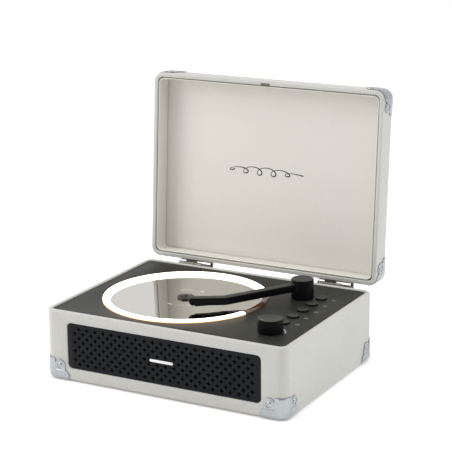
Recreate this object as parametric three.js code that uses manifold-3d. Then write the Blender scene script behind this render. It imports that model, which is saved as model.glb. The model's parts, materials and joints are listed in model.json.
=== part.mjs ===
// Suitcase record player: a covered case with a hinged lid, a lit platter, a tonearm,
// a volume knob and five push buttons. Millimetres, +Z up, the front faces -Y.
import * as THREE from 'three';
import { mergeVertices } from 'three/addons/utils/BufferGeometryUtils.js';
import Module from 'manifold-3d';

const wasm = await Module();
wasm.setup();

// ---- Clearances -------------------------------------------------------------
const GAP = 0.3; // between pieces that are fixed to each other
const RUN = 0.6; // between a moving piece and what surrounds it
const OVER = 1; // how far a cutting shape runs past what it cuts

// ---- Case -------------------------------------------------------------------
const CASE_W = 350;
const CASE_D = 263;
const CASE_H = 92.3;
const CASE_R = 13; // upright corners
const WALL = 6;
const FOOT_H = 3;
const FOOT_R = 9;
const FOOT_INSET = 44; // foot centre from the outer walls
const FOOT_PLUG_R = 2.5;
const BOTTOM_T = 4;
const LEDGE_W = 5;
const LEDGE_H = 6;
const LEDGE_R = 4;

// ---- Deck -------------------------------------------------------------------
const DECK_DROP = 1.5; // deck face below the rim
const DECK_T = 3;

// ---- Grille and speakers ----------------------------------------------------------
const GRILLE_W = 281.4;
const GRILLE_H = 61.2;
const GRILLE_R = 6;
const GRILLE_BASE = 16.3; // lower edge above the underside of the case
const GRILLE_RECESS = 0.6;
const GRILLE_FLANGE = 4;
const GRILLE_FLANGE_T = 2;
const SPEAKER_R = 27;
const SPEAKER_DEPTH = 30;
const SPEAKER_X = 82;
const SPEAKER_RIM = 5;
const SPEAKER_RIM_T = 2;
const CONE_R = 12; // the cone's bend
const CONE_DEPTH = 5;
const CONE_MIDDLE_DEPTH = 8;
const MAGNET_R = 15;
const MAGNET_FACE = 16; // magnet behind the rim

// ---- Platter, light ring and drive ------------------------------------------------
const PLATTER_X = -38;
const PLATTER_Y = -1;
const RING_R = 110.4;
const RING_W = 9.4;
const RING_RISE = 3.1; // above the deck
const RING_H = 7.4;
const RING_DARK_FROM = -16; // degrees, the stretch of the ring without light
const RING_DARK_TO = 24;
const MIRROR_DROP = 4.2; // mirror face below the top of the ring
const PLATTER_T = 2.6;
const HUB_R = 11.4;
const HUB_H = 2.8;
const HUB_CHAMFER = 0.8;
const SPINDLE_R = 3;
const SPINDLE_DROP = 10; // below the well's floor
const PIN_R = 3.5;
const PIN_H = 1.2;
const PIN_CHAMFER = 0.6;
const BELT_RUN = 16; // between the drive rim and the pulley
const DRIVE_H = 5;
const DRIVE_RIM = 3;
const DRIVE_WEB = 2;
const WELL_FLOOR_T = 2;
const WELL_FLANGE = 5;
const BUSH_R = 6;
const BUSH_DROP = 12; // below the well's floor
const BUSH_COLLAR = 3;
const BUSH_COLLAR_T = 1.5;
const STRIP_INSET = 2.4; // light strip inside the ring's edges
const STRIP_DROP = 1.4; // its underside below the shelf
const PULLEY_R = 6;
const PULLEY_CROWN = 0.2;
const PULLEY_ROOM = 1; // around the pulley where it comes through the well
const PULLEY_ANGLE = 60; // degrees
const MOTOR_R = 17;
const MOTOR_H = 21;
const MOTOR_SHAFT_R = 1.2;
const MOTOR_SHAFT_RISE = 4; // above the well's floor
const BELT_T = 0.7;
const BELT_H = 3.4;

// ---- Tonearm ----------------------------------------------------------------------
const ARM_X = 102;
const ARM_Y = 65.5;
const POST_R = 15;
const POST_NECK_R = 9.6; // the foot's neck below the deck
const POST_NECK_DROP = 8; // below the deck plate
const POST_SHAFT_R = 4;
const POST_CHAMFER = 0.8;
const POST_H = 26.7; // above the deck
const POST_BASE_H = 5.4;
const ARM_LEN = 109.5; // pivot to bend
const ARM_DIR = 228.9; // degrees, as it stands over the platter
const HEAD_LEN = 48;
const HEAD_DIR = 219.5;
const ARM_W = 12;
const ARM_T = 10.2;
const ARM_TOP_PIVOT = 21.8; // top face above the deck at the pivot, the bend and the tip
const ARM_TOP_BEND = 14.4;
const ARM_TOP_TIP = 16.9;
const ARM_TAIL = 8;
const ARM_CHAMFER = 1.4;
const ARM_PIN_R = 1.5;
const SLOT_ROOM = 2; // under the arm and behind its tail, in the post
const SLOT_ABOVE = 1.5;
const BEND_REACH = 6; // of the soft bend, each way
const TIP_TAPER = 3;
const TIP_SHRINK = 1.2;
const CARTRIDGE_L = 16;
const CARTRIDGE_W = 7;
const CARTRIDGE_SETBACK = 8; // from the tip
const CARTRIDGE_SHOW = 1.8; // below the head
const POCKET_DEPTH = 6;
const STYLUS_R = 0.8;
const STYLUS_TIP_R = 0.2;
const STYLUS_H = 1.2;
const STYLUS_SETBACK = 3; // from the cartridge's front

// ---- Controls ---------------------------------------------------------------------
const BUTTON_X = 126.8;
const BUTTON_Y0 = 71;
const BUTTON_PITCH = 27.8;
const BUTTON_NAMES = ['power', 'light', 'source', 'previous', 'next'];
const BUTTON_R = 7.3;
const BUTTON_RISE = 2.2;
const BUTTON_DEPTH = 9.1;
const BUTTON_CHAMFER = 0.4;
const SWITCH_W = 6;
const SWITCH_RISE = 3; // key switch above its board
const SWITCH_ROOM = 1.4; // below the cap at rest
const SWITCH_ROOT = 0.8; // sunk in the board
const CONTROL_BOARD_END = 10; // past the outermost buttons
const CONTROL_BOARD_LEFT = 9;
const CONTROL_BOARD_RIGHT = 12;
const KNOB_X = 127.6;
const KNOB_Y = -78.6;
const KNOB_R = 16.3;
const KNOB_H = 18.4;
const KNOB_ROOF = 5; // solid top of the knob above its bore
const KNOB_CHAMFER = 0.6;
const POT_R = 9;
const POT_H = 12;
const POT_BUSH_R = 4.7;
const POT_SHAFT_R = 3;
const LENS_X = 124.7;
const LENS_Y = 92.2;
const LENS_R = 1.5;

// ---- Lid --------------------------------------------------------------------------
const LID_H = 31;
const LID_TOP_T = 3.5;
const LINING_T = 1.3;
const LINING_R = 8;
const LID_OPEN = 94.1; // degrees from closed
const HINGE_BACK = 5.3; // hinge axis behind the rear wall
const HINGE_DROP = 1.6; // hinge axis below the rim
const HINGE_X = 108.6;
const HINGE_LEN = 36;
const LEAF_LEN = 22;
const LEAF_T = 1.2;
const LEAF_ROOT = 3.4; // leaf's near edge from the axis
const WEB_NEAR = 1.6; // webs between barrel and leaf, from the axis
const WEB_FAR = 4.4;
const KNUCKLE_R = 3;
const HINGE_PIN_R = 1.1;
const HINGE_PIN_END = 1; // past the barrel
const STOP_REACH = 14.5; // stop arm past the barrel's end
const STOP_W = 3;
const STOP_T = 2.8;
const STOP_BAR_H = 3.92;
const STOP_LIFT = 1; // bar above the barrel, with the lid closed
const STOP_BACK = 8.4; // stop arm behind the hinge axis
const CATCH_W = 12;
const CATCH_D = 2.4;
const CATCH_H = 3;

// ---- Corner caps ------------------------------------------------------------------
const CAP_H = 27.5;
const CAP_REACH = 31;
const CAP_T = 0.9;

// ---- Rear sockets -----------------------------------------------------------------
const PANEL_W = 96;
const PANEL_H = 26;
const PANEL_X = -70;
const PANEL_BASE = 30;
const PANEL_T = 2.5;
const PANEL_SET_BACK = 1.2;
const PANEL_LIP_X = 5;
const PANEL_LIP_Z = 4;
const PANEL_LIP_T = 2;
const PANEL_BRIDGE_INSET = 2;
const SOCKET_XS = { dc: -34, headphone: -8, line: 24 };
const DC_R = 5;
const DC_BORE_R = 2.8;
const HEADPHONE_R = 4;
const HEADPHONE_BORE_R = 1.8;
const LINE_R = 5.5;
const LINE_BORE_R = 1.8;
const LINE_PITCH = 16;
const LINE_SHOW = 3; // past the panel
const SOCKET_DEPTH = 12; // behind the panel's lip
const SOCKET_EDGE = 1; // socket body around its barrel
const BORE_DEPTH = 8;

// ---- Boards -----------------------------------------------------------------------
const BOARD_T = 1.6;
const BOARD_LIFT = 4; // main board above the bottom panel
const BOARD_POST_R = 3;
const BOARD_POST_INSET = 4;
const BOARD = { x0: -110, x1: 0, y0: 20, y1: 96 };
const HEAT_SINK = { x0: -100, x1: -76, y0: 30, y1: 60, high: 18 };
const CHIP = { x0: -60, x1: -44, y0: 66, y1: 82, high: 3.4 };
const COIL = { x: -40, y: 40, radius: 9, high: 16 };
const CAPACITOR = { x: -20, y: 76, radius: 5, high: 14 };

// ---- Levels worked out from the sizes above ---------------------------------------
const RIM_Z = FOOT_H + CASE_H;
const DECK_Z = RIM_Z - DECK_DROP;
const DECK_UNDER = DECK_Z - DECK_T;
const FRONT_Y = -CASE_D / 2;
const REAR_Y = CASE_D / 2;
const RING_TOP = DECK_Z + RING_RISE;
const RING_BOTTOM = RING_TOP - RING_H;
const MIRROR_Z = RING_TOP - MIRROR_DROP;
const HUB_TOP = MIRROR_Z + HUB_H;
const SHELF_Z = RING_BOTTOM - GAP;
const DRIVE_TOP = MIRROR_Z - PLATTER_T - GAP;
const WELL_TOP = DRIVE_TOP - DRIVE_H - RUN;
const WELL_BOTTOM = WELL_TOP - WELL_FLOOR_T;
const HINGE_Y = REAR_Y + HINGE_BACK;
const HINGE_Z = RIM_Z - HINGE_DROP;
const LID_Z0 = RIM_Z + GAP;
const LID_Z1 = LID_Z0 + LID_H;
const GRILLE_Z = FOOT_H + GRILLE_BASE + GRILLE_H / 2;
const POST_TOP = DECK_Z + POST_H;
const ARM_PIN_Z = DECK_Z + ARM_TOP_PIVOT - ARM_T / 2;
const PULLEY_REACH = RING_R - RING_W - MOTOR_R; // motor axis from the platter axis
const DRIVE_R = PULLEY_REACH - PULLEY_R - BELT_RUN;
const PULLEY_X = PLATTER_X + PULLEY_REACH * Math.cos(THREE.MathUtils.degToRad(PULLEY_ANGLE));
const PULLEY_Y = PLATTER_Y + PULLEY_REACH * Math.sin(THREE.MathUtils.degToRad(PULLEY_ANGLE));

const FINISH = {
  vinyl: { color: 0xd8d7d0, roughness: 0.55, metalness: 0 },
  lining: { color: 0xd9d5cc, roughness: 0.7, metalness: 0 },
  chrome: { color: 0xc4ccd0, roughness: 0.12, metalness: 1 },
  steel: { color: 0x8f8c84, roughness: 0.35, metalness: 1 },
  deck: { color: 0x4a4b44, roughness: 0.45, metalness: 0 },
  black: { color: 0x1a1a1e, roughness: 0.4, metalness: 0 },
  grille: { color: 0x1e1e22, roughness: 0.6, metalness: 0 },
  mirror: { color: 0xd8d4cc, roughness: 0.04, metalness: 1 },
  glow: { color: 0xfff4dc, roughness: 0.3, metalness: 0 },
  copper: { color: 0x5a3a2a, roughness: 0.2, metalness: 0.4 },
  rubber: { color: 0x222222, roughness: 0.9, metalness: 0 },
  board: { color: 0x1f5a38, roughness: 0.6, metalness: 0 },
  brass: { color: 0xb08d4a, roughness: 0.35, metalness: 1 },
  wood: { color: 0xb79a72, roughness: 0.8, metalness: 0 },
};

// ---- Shape helpers ----------------------------------------------------------------
const rad = THREE.MathUtils.degToRad;

function solid(geometry) {
  const bare = geometry.clone();
  bare.deleteAttribute('normal');
  bare.deleteAttribute('uv');
  const merged = mergeVertices(bare, 1e-4);
  return new wasm.Manifold(new wasm.Mesh({
    numProp: 3,
    vertProperties: new Float32Array(merged.attributes.position.array),
    triVerts: new Uint32Array(merged.index.array),
  }));
}

function geometryOf(manifold) {
  const mesh = manifold.getMesh();
  const geometry = new THREE.BufferGeometry();
  geometry.setAttribute('position', new THREE.BufferAttribute(mesh.vertProperties, 3));
  geometry.setIndex(new THREE.BufferAttribute(mesh.triVerts, 1));
  geometry.computeVertexNormals();
  return geometry;
}

function add(first, ...others) {
  return geometryOf(others.reduce((sum, one) => sum.add(solid(one)), solid(first)));
}

function cut(first, ...others) {
  return geometryOf(others.reduce((rest, one) => rest.subtract(solid(one)), solid(first)));
}

function common(first, second) {
  return geometryOf(solid(first).intersect(solid(second)));
}

function roundedRect(width, depth, radius) {
  const x = width / 2;
  const y = depth / 2;
  const shape = new THREE.Shape();
  shape.absarc(x - radius, y - radius, radius, 0, Math.PI / 2);
  shape.absarc(-x + radius, y - radius, radius, Math.PI / 2, Math.PI);
  shape.absarc(-x + radius, -y + radius, radius, Math.PI, 1.5 * Math.PI);
  shape.absarc(x - radius, -y + radius, radius, 1.5 * Math.PI, 2 * Math.PI);
  shape.closePath();
  return shape;
}

function prism(shape, z0, z1, curveSegments = 6) {
  const options = { depth: z1 - z0, bevelEnabled: false, curveSegments };
  return new THREE.ExtrudeGeometry(shape, options).translate(0, 0, z0);
}

function plate(width, depth, radius, z0, z1) {
  return prism(roundedRect(width, depth, radius), z0, z1);
}

function box(x0, x1, y0, y1, z0, z1) {
  const geometry = new THREE.BoxGeometry(x1 - x0, y1 - y0, z1 - z0);
  return geometry.translate((x0 + x1) / 2, (y0 + y1) / 2, (z0 + z1) / 2);
}

function cylinder(radius, z0, z1, x = 0, y = 0, segments = 24) {
  const geometry = new THREE.CylinderGeometry(radius, radius, z1 - z0, segments);
  return geometry.rotateX(Math.PI / 2).translate(x, y, (z0 + z1) / 2);
}

function barAlongX(radius, x0, x1, y, z, segments = 16) {
  const geometry = new THREE.CylinderGeometry(radius, radius, x1 - x0, segments);
  return geometry.rotateZ(Math.PI / 2).translate((x0 + x1) / 2, y, z);
}

function barAlongY(radius, y0, y1, x, z, segments = 20) {
  return new THREE.CylinderGeometry(radius, radius, y1 - y0, segments).translate(x, (y0 + y1) / 2, z);
}

// Turns a closed outline of [radius, height] points, listed anticlockwise, about +Z.
function turned(outline, x, y, segments) {
  const points = outline.map(([r, z]) => new THREE.Vector2(r, z));
  if (outline[0][0] > 0) {
    points.push(points[0].clone());
  }
  return new THREE.LatheGeometry(points, segments).rotateX(Math.PI / 2).translate(x, y, 0);
}

function arcBand(inner, outer, fromDegrees, toDegrees) {
  const shape = new THREE.Shape();
  shape.absarc(0, 0, outer, rad(fromDegrees), rad(toDegrees), false);
  shape.absarc(0, 0, inner, rad(toDegrees), rad(fromDegrees), true);
  shape.closePath();
  return shape;
}

// Skins a row of point rings that all hold the same number of points, and closes both ends.
function loft(rings) {
  const count = rings[0].length;
  const positions = rings.flat().flatMap((p) => [p.x, p.y, p.z]);
  const index = [];
  for (let r = 0; r + 1 < rings.length; r += 1) {
    for (let i = 0; i < count; i += 1) {
      const a = r * count + i;
      const b = r * count + ((i + 1) % count);
      index.push(a, b, b + count, a, b + count, a + count);
    }
  }
  const last = (rings.length - 1) * count;
  for (let i = 1; i + 1 < count; i += 1) {
    index.push(0, i + 1, i);
    index.push(last, last + i, last + i + 1);
  }
  const geometry = new THREE.BufferGeometry();
  geometry.setAttribute('position', new THREE.Float32BufferAttribute(positions, 3));
  geometry.setIndex(index);
  geometry.computeVertexNormals();
  return geometry;
}

function mesh(name, finish, geometry) {
  const made = new THREE.Mesh(geometry, new THREE.MeshStandardMaterial(FINISH[finish]));
  made.name = name;
  return made;
}

// ---- Case -------------------------------------------------------------------------
function caseShell() {
  const inner = plate(CASE_W - 2 * WALL, CASE_D - 2 * WALL, CASE_R - WALL, FOOT_H - OVER, RIM_Z + OVER);
  const walls = cut(plate(CASE_W, CASE_D, CASE_R, FOOT_H, RIM_Z), inner);
  const ledgeTop = DECK_UNDER - GAP;
  const ledgeOuter = plate(CASE_W - WALL, CASE_D - WALL, CASE_R - WALL, ledgeTop - LEDGE_H, ledgeTop);
  const inset = 2 * (WALL + LEDGE_W);
  const hole = plate(CASE_W - inset, CASE_D - inset, LEDGE_R, ledgeTop - LEDGE_H - OVER, ledgeTop + OVER);
  const withLedge = add(walls, cut(ledgeOuter, hole));
  const front = grillePlate(GAP, FRONT_Y - OVER, FRONT_Y + WALL + OVER);
  const panelZ = FOOT_H + PANEL_BASE;
  const rear = box(
    PANEL_X - PANEL_W / 2 - GAP, PANEL_X + PANEL_W / 2 + GAP,
    REAR_Y - WALL - OVER, REAR_Y + OVER, panelZ - GAP, panelZ + PANEL_H + GAP,
  );
  return mesh('case_shell', 'vinyl', cut(withLedge, front, rear));
}

function grillePlate(grow, y0, y1) {
  const shape = roundedRect(GRILLE_W + 2 * grow, GRILLE_H + 2 * grow, GRILLE_R + grow);
  return prism(shape, 0, y1 - y0).rotateX(Math.PI / 2).translate(0, y1, GRILLE_Z);
}

function footPlaces() {
  const x = CASE_W / 2 - FOOT_INSET;
  const y = CASE_D / 2 - FOOT_INSET;
  return [['front_left', -x, -y], ['front_right', x, -y], ['rear_left', -x, y], ['rear_right', x, y]];
}

function bottomPanel() {
  const grow = 2 * (WALL + GAP);
  const panel = plate(CASE_W - grow, CASE_D - grow, CASE_R - WALL, FOOT_H, FOOT_H + BOTTOM_T);
  const holes = footPlaces().map(([, x, y]) => (
    cylinder(FOOT_PLUG_R + GAP, FOOT_H - OVER, FOOT_H + BOTTOM_T + OVER, x, y, 12)
  ));
  return mesh('bottom_panel', 'wood', cut(panel, ...holes));
}

function feet() {
  return footPlaces().map(([where, x, y]) => {
    const pad = cylinder(FOOT_R, 0, FOOT_H - GAP, x, y);
    const plug = cylinder(FOOT_PLUG_R, FOOT_H / 2, FOOT_H + BOTTOM_T, x, y, 12);
    return mesh(`foot_${where}`, 'rubber', add(pad, plug));
  });
}

// One cap wraps a corner of a box whose outer face lies at faceZ; the sheet runs from
// there towards the box's middle height, and inwards under the face.
function cornerCap(name, signX, signY, faceZ, away) {
  const edge = faceZ + away * (GAP + CAP_T);
  const end = faceZ - away * CAP_H;
  const low = Math.min(edge, end);
  const high = Math.max(edge, end);
  const grow = 2 * (GAP + CAP_T);
  const outer = plate(CASE_W + grow, CASE_D + grow, CASE_R + GAP + CAP_T, low, high);
  const innerLow = away > 0 ? low - OVER : low + CAP_T;
  const innerHigh = away > 0 ? high - CAP_T : high + OVER;
  const inner = plate(CASE_W + 2 * GAP, CASE_D + 2 * GAP, CASE_R + GAP, innerLow, innerHigh);
  const cornerX = signX * (CASE_W / 2 + GAP + CAP_T);
  const cornerY = signY * (CASE_D / 2 + GAP + CAP_T);
  const inX = cornerX - signX * CAP_REACH;
  const inY = cornerY - signY * CAP_REACH;
  const quarter = box(
    Math.min(inX, cornerX + signX), Math.max(inX, cornerX + signX),
    Math.min(inY, cornerY + signY), Math.max(inY, cornerY + signY), low - OVER, high + OVER,
  );
  return mesh(name, 'chrome', common(cut(outer, inner), quarter));
}

function cornerCaps(prefix, faceZ, away) {
  const corners = [];
  for (const [sideY, signY] of [['front', -1], ['rear', 1]]) {
    for (const [sideX, signX] of [['left', -1], ['right', 1]]) {
      corners.push(cornerCap(`${prefix}_corner_${sideY}_${sideX}`, signX, signY, faceZ, away));
    }
  }
  return corners;
}

// ---- Grille and speakers ----------------------------------------------------------
function grillePanel() {
  const back = FRONT_Y + WALL + GAP;
  const face = grillePlate(0, FRONT_Y + GRILLE_RECESS, back + GRILLE_FLANGE_T);
  const flange = grillePlate(GRILLE_FLANGE, back, back + GRILLE_FLANGE_T);
  return mesh('grille_panel', 'grille', add(face, flange));
}

function speaker(side, sign) {
  const outline = [
    [0, CONE_MIDDLE_DEPTH], [CONE_R, CONE_DEPTH], [SPEAKER_R - SPEAKER_RIM, 0], [SPEAKER_R, 0],
    [SPEAKER_R, SPEAKER_RIM_T], [SPEAKER_R - SPEAKER_RIM, SPEAKER_RIM_T + GAP],
    [MAGNET_R - GAP, MAGNET_FACE], [MAGNET_R, MAGNET_FACE], [MAGNET_R, SPEAKER_DEPTH], [0, SPEAKER_DEPTH],
  ];
  const y = FRONT_Y + WALL + 2 * GAP + GRILLE_FLANGE_T;
  const geometry = turned(outline, 0, 0, 24).rotateX(-Math.PI / 2).translate(sign * SPEAKER_X, y, GRILLE_Z);
  return mesh(`speaker_${side}`, 'black', geometry);
}

// ---- Boards and sockets -----------------------------------------------------------
function blockOn({ x0, x1, y0, y1, high }, z) {
  return box(x0, x1, y0, y1, z + BOARD_T / 2, z + high);
}

function drumOn({ x, y, radius, high }, z) {
  return cylinder(radius, z + BOARD_T / 2, z + high, x, y, 16);
}

function mainBoard() {
  const z = FOOT_H + BOTTOM_T + BOARD_LIFT;
  const { x0, x1, y0, y1 } = BOARD;
  const board = box(x0, x1, y0, y1, z, z + BOARD_T);
  const corners = [x0 + BOARD_POST_INSET, x1 - BOARD_POST_INSET].flatMap((x) => (
    [y0 + BOARD_POST_INSET, y1 - BOARD_POST_INSET].map((y) => [x, y])
  ));
  const posts = corners.map(([x, y]) => (
    cylinder(BOARD_POST_R, FOOT_H + BOTTOM_T + GAP, z + BOARD_T / 2, x, y, 12)
  ));
  const parts = [blockOn(HEAT_SINK, z), drumOn(COIL, z), blockOn(CHIP, z), drumOn(CAPACITOR, z)];
  return mesh('main_board', 'board', add(board, ...parts, ...posts));
}

function buttonYs() {
  return BUTTON_NAMES.map((_, i) => BUTTON_Y0 - i * BUTTON_PITCH);
}

function controlBoard() {
  const capBottom = DECK_Z + BUTTON_RISE - BUTTON_DEPTH;
  const top = capBottom - SWITCH_ROOM - SWITCH_RISE;
  const ys = buttonYs();
  const half = SWITCH_W / 2;
  const board = box(
    BUTTON_X - CONTROL_BOARD_LEFT, BUTTON_X + CONTROL_BOARD_RIGHT,
    ys[ys.length - 1] - CONTROL_BOARD_END, ys[0] + CONTROL_BOARD_END, top - BOARD_T, top,
  );
  const switches = ys.map((y) => box(
    BUTTON_X - half, BUTTON_X + half, y - half, y + half, top - SWITCH_ROOT, top + SWITCH_RISE,
  ));
  return mesh('control_board', 'board', add(board, ...switches));
}

function socketPanel() {
  const z = FOOT_H + PANEL_BASE;
  const middle = z + PANEL_H / 2;
  const x0 = PANEL_X - PANEL_W / 2;
  const outer = REAR_Y - PANEL_SET_BACK;
  const face = box(x0, x0 + PANEL_W, outer - PANEL_T, outer, z, z + PANEL_H);
  const lipY = REAR_Y - WALL - GAP;
  const lip = box(
    x0 - PANEL_LIP_X, x0 + PANEL_W + PANEL_LIP_X, lipY - PANEL_LIP_T, lipY,
    z - PANEL_LIP_Z, z + PANEL_H + PANEL_LIP_Z,
  );
  const bridge = box(
    x0 + PANEL_BRIDGE_INSET, x0 + PANEL_W - PANEL_BRIDGE_INSET, lipY - PANEL_LIP_T, outer - PANEL_T / 2,
    z + PANEL_BRIDGE_INSET, z + PANEL_H - PANEL_BRIDGE_INSET,
  );
  const { dc, headphone, line } = SOCKET_XS;
  const barrels = [
    [dc, DC_R], [headphone, HEADPHONE_R], [line - LINE_PITCH / 2, LINE_R], [line + LINE_PITCH / 2, LINE_R],
  ];
  const bores = barrels.map(([dx, radius]) => (
    barAlongY(radius + GAP, lipY - PANEL_LIP_T - OVER, REAR_Y + OVER, PANEL_X + dx, middle)
  ));
  return mesh('rear_socket_panel', 'black', cut(add(face, lip, bridge), ...bores));
}

// A socket is one or more barrels through the panel, with a body behind it.
function socket(name, finish, xs, radius, bore, show) {
  const z = FOOT_H + PANEL_BASE + PANEL_H / 2;
  const back = REAR_Y - WALL - GAP - PANEL_LIP_T;
  const front = REAR_Y - PANEL_SET_BACK + show;
  const reach = radius + SOCKET_EDGE;
  const body = box(
    xs[0] - reach, xs[xs.length - 1] + reach, back - SOCKET_DEPTH, back - GAP, z - reach, z + reach,
  );
  const barrels = xs.map((x) => barAlongY(radius, back - SOCKET_DEPTH / 2, front, x, z));
  const bores = xs.map((x) => barAlongY(bore, back - BORE_DEPTH, front + OVER, x, z));
  return mesh(name, finish, cut(add(body, ...barrels), ...bores));
}

function sockets() {
  const line = PANEL_X + SOCKET_XS.line;
  const lineXs = [line - LINE_PITCH / 2, line + LINE_PITCH / 2];
  return [
    socket('dc_socket', 'black', [PANEL_X + SOCKET_XS.dc], DC_R, DC_BORE_R, 0),
    socket('headphone_socket', 'black', [PANEL_X + SOCKET_XS.headphone], HEADPHONE_R, HEADPHONE_BORE_R, 0),
    socket('line_out_socket', 'brass', lineXs, LINE_R, LINE_BORE_R, LINE_SHOW),
  ];
}

// ---- Deck -------------------------------------------------------------------------
function deckPlate() {
  const grow = 2 * (WALL + GAP);
  const sheet = plate(CASE_W - grow, CASE_D - grow, CASE_R - WALL, DECK_UNDER, DECK_Z);
  const through = (radius, x, y, segments) => (
    cylinder(radius, DECK_UNDER - OVER, DECK_Z + OVER, x, y, segments)
  );
  const holes = [
    through(RING_R + GAP, PLATTER_X, PLATTER_Y, 72),
    through(POST_NECK_R + GAP, ARM_X, ARM_Y, 20),
    through(POT_BUSH_R + GAP, KNOB_X, KNOB_Y, 16),
    through(LENS_R + GAP, LENS_X, LENS_Y, 12),
    ...buttonYs().map((y) => through(BUTTON_R + RUN, BUTTON_X, y, 20)),
  ];
  return mesh('deck_plate', 'deck', cut(sheet, ...holes));
}

function lightRing() {
  const inner = RING_R - RING_W;
  const half = THREE.MathUtils.radToDeg(GAP / 2 / RING_R);
  const lit = arcBand(inner, RING_R, RING_DARK_TO + half, RING_DARK_FROM + 360 - half);
  const dark = arcBand(inner, RING_R, RING_DARK_FROM + half, RING_DARK_TO - half);
  const strip = arcBand(inner + STRIP_INSET, RING_R - STRIP_INSET, RING_DARK_TO + 1, RING_DARK_FROM + 359);
  const place = (geometry) => geometry.translate(PLATTER_X, PLATTER_Y, 0);
  return [
    mesh('light_ring', 'glow', place(prism(lit, RING_BOTTOM, RING_TOP, 32))),
    mesh('light_ring_cover', 'copper', place(prism(dark, RING_BOTTOM, RING_TOP, 8))),
    mesh('led_strip', 'brass', place(prism(strip, SHELF_Z - STRIP_DROP, SHELF_Z - GAP, 28))),
  ];
}

function platterWell() {
  const outer = RING_R + WELL_FLANGE;
  const inner = RING_R - RING_W;
  const channelIn = inner + STRIP_INSET - GAP;
  const channelOut = RING_R - STRIP_INSET + GAP;
  const channelZ = SHELF_Z - STRIP_DROP - GAP;
  const lip = RING_R + RUN;
  const outline = [
    [BUSH_R + GAP, WELL_BOTTOM], [outer, WELL_BOTTOM], [outer, DECK_UNDER - GAP], [lip, DECK_UNDER - GAP],
    [lip, SHELF_Z], [channelOut, SHELF_Z], [channelOut, channelZ], [channelIn, channelZ],
    [channelIn, SHELF_Z], [inner, SHELF_Z], [inner, WELL_TOP], [BUSH_R + GAP, WELL_TOP],
  ];
  const tray = turned(outline, PLATTER_X, PLATTER_Y, 48);
  const shaftHole = cylinder(PULLEY_R + PULLEY_ROOM, WELL_BOTTOM - OVER, WELL_TOP + OVER, PULLEY_X, PULLEY_Y);
  return mesh('platter_well', 'black', cut(tray, shaftHole));
}

function spindleBush() {
  const bore = SPINDLE_R + GAP;
  const bottom = WELL_BOTTOM - BUSH_DROP;
  const collar = WELL_TOP + GAP;
  const outline = [
    [bore, bottom], [BUSH_R, bottom], [BUSH_R, collar], [BUSH_R + BUSH_COLLAR, collar],
    [BUSH_R + BUSH_COLLAR, collar + BUSH_COLLAR_T], [bore, collar + BUSH_COLLAR_T],
  ];
  return mesh('spindle_bush', 'brass', turned(outline, PLATTER_X, PLATTER_Y, 24));
}

function motor() {
  const top = WELL_BOTTOM - GAP;
  const can = cylinder(MOTOR_R, top - MOTOR_H, top, PULLEY_X, PULLEY_Y, 32);
  const shaft = cylinder(MOTOR_SHAFT_R, top - OVER, WELL_TOP + MOTOR_SHAFT_RISE, PULLEY_X, PULLEY_Y, 12);
  return mesh('motor', 'steel', add(can, shaft));
}

function platter() {
  const bore = SPINDLE_R + GAP;
  const bottom = MIRROR_Z - PLATTER_T;
  const radius = RING_R - RING_W - RUN;
  const disc = [[bore, bottom], [radius, bottom], [radius, MIRROR_Z], [bore, MIRROR_Z]];
  const web = DRIVE_TOP - DRIVE_WEB;
  const under = DRIVE_TOP - DRIVE_H;
  const drive = [
    [bore, web], [DRIVE_R - DRIVE_RIM, web], [DRIVE_R - DRIVE_RIM, under], [DRIVE_R, under],
    [DRIVE_R, DRIVE_TOP], [bore, DRIVE_TOP],
  ];
  const end = WELL_BOTTOM - SPINDLE_DROP;
  const hub = [
    [0, end], [SPINDLE_R, end], [SPINDLE_R, MIRROR_Z + GAP], [HUB_R, MIRROR_Z + GAP],
    [HUB_R, HUB_TOP - HUB_CHAMFER], [HUB_R - HUB_CHAMFER, HUB_TOP], [PIN_R, HUB_TOP],
    [PIN_R, HUB_TOP + PIN_H - PIN_CHAMFER], [PIN_R - PIN_CHAMFER, HUB_TOP + PIN_H], [0, HUB_TOP + PIN_H],
  ];
  return [
    mesh('platter_disc', 'mirror', turned(disc, PLATTER_X, PLATTER_Y, 72)),
    mesh('platter_drive_rim', 'black', turned(drive, PLATTER_X, PLATTER_Y, 40)),
    mesh('platter_hub', 'steel', turned(hub, PLATTER_X, PLATTER_Y, 24)),
  ];
}

function motorPulley() {
  const bore = MOTOR_SHAFT_R + GAP;
  const bottom = DRIVE_TOP - DRIVE_H + RUN;
  const top = DRIVE_TOP - RUN;
  const outline = [
    [bore, bottom], [PULLEY_R - PULLEY_CROWN, bottom], [PULLEY_R, (bottom + top) / 2],
    [PULLEY_R - PULLEY_CROWN, top], [bore, top],
  ];
  return mesh('motor_pulley', 'brass', turned(outline, PULLEY_X, PULLEY_Y, 20));
}

// The belt's outline is the two pulley circles joined by their outer tangents.
function beltOutline(grow) {
  const big = DRIVE_R + grow;
  const small = PULLEY_R + grow;
  const lean = Math.acos((big - small) / PULLEY_REACH);
  const shape = new THREE.Shape();
  shape.absarc(0, 0, big, lean, 2 * Math.PI - lean, false);
  shape.absarc(PULLEY_REACH, 0, small, -lean, lean, false);
  shape.closePath();
  return shape;
}

function driveBelt() {
  const middle = DRIVE_TOP - DRIVE_H / 2;
  const band = beltOutline(GAP + BELT_T);
  band.holes.push(new THREE.Path(beltOutline(GAP).getPoints(12)));
  const geometry = prism(band, middle - BELT_H / 2, middle + BELT_H / 2, 12);
  geometry.rotateZ(rad(PULLEY_ANGLE)).translate(PLATTER_X, PLATTER_Y, 0);
  return mesh('drive_belt', 'rubber', geometry);
}

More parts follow.
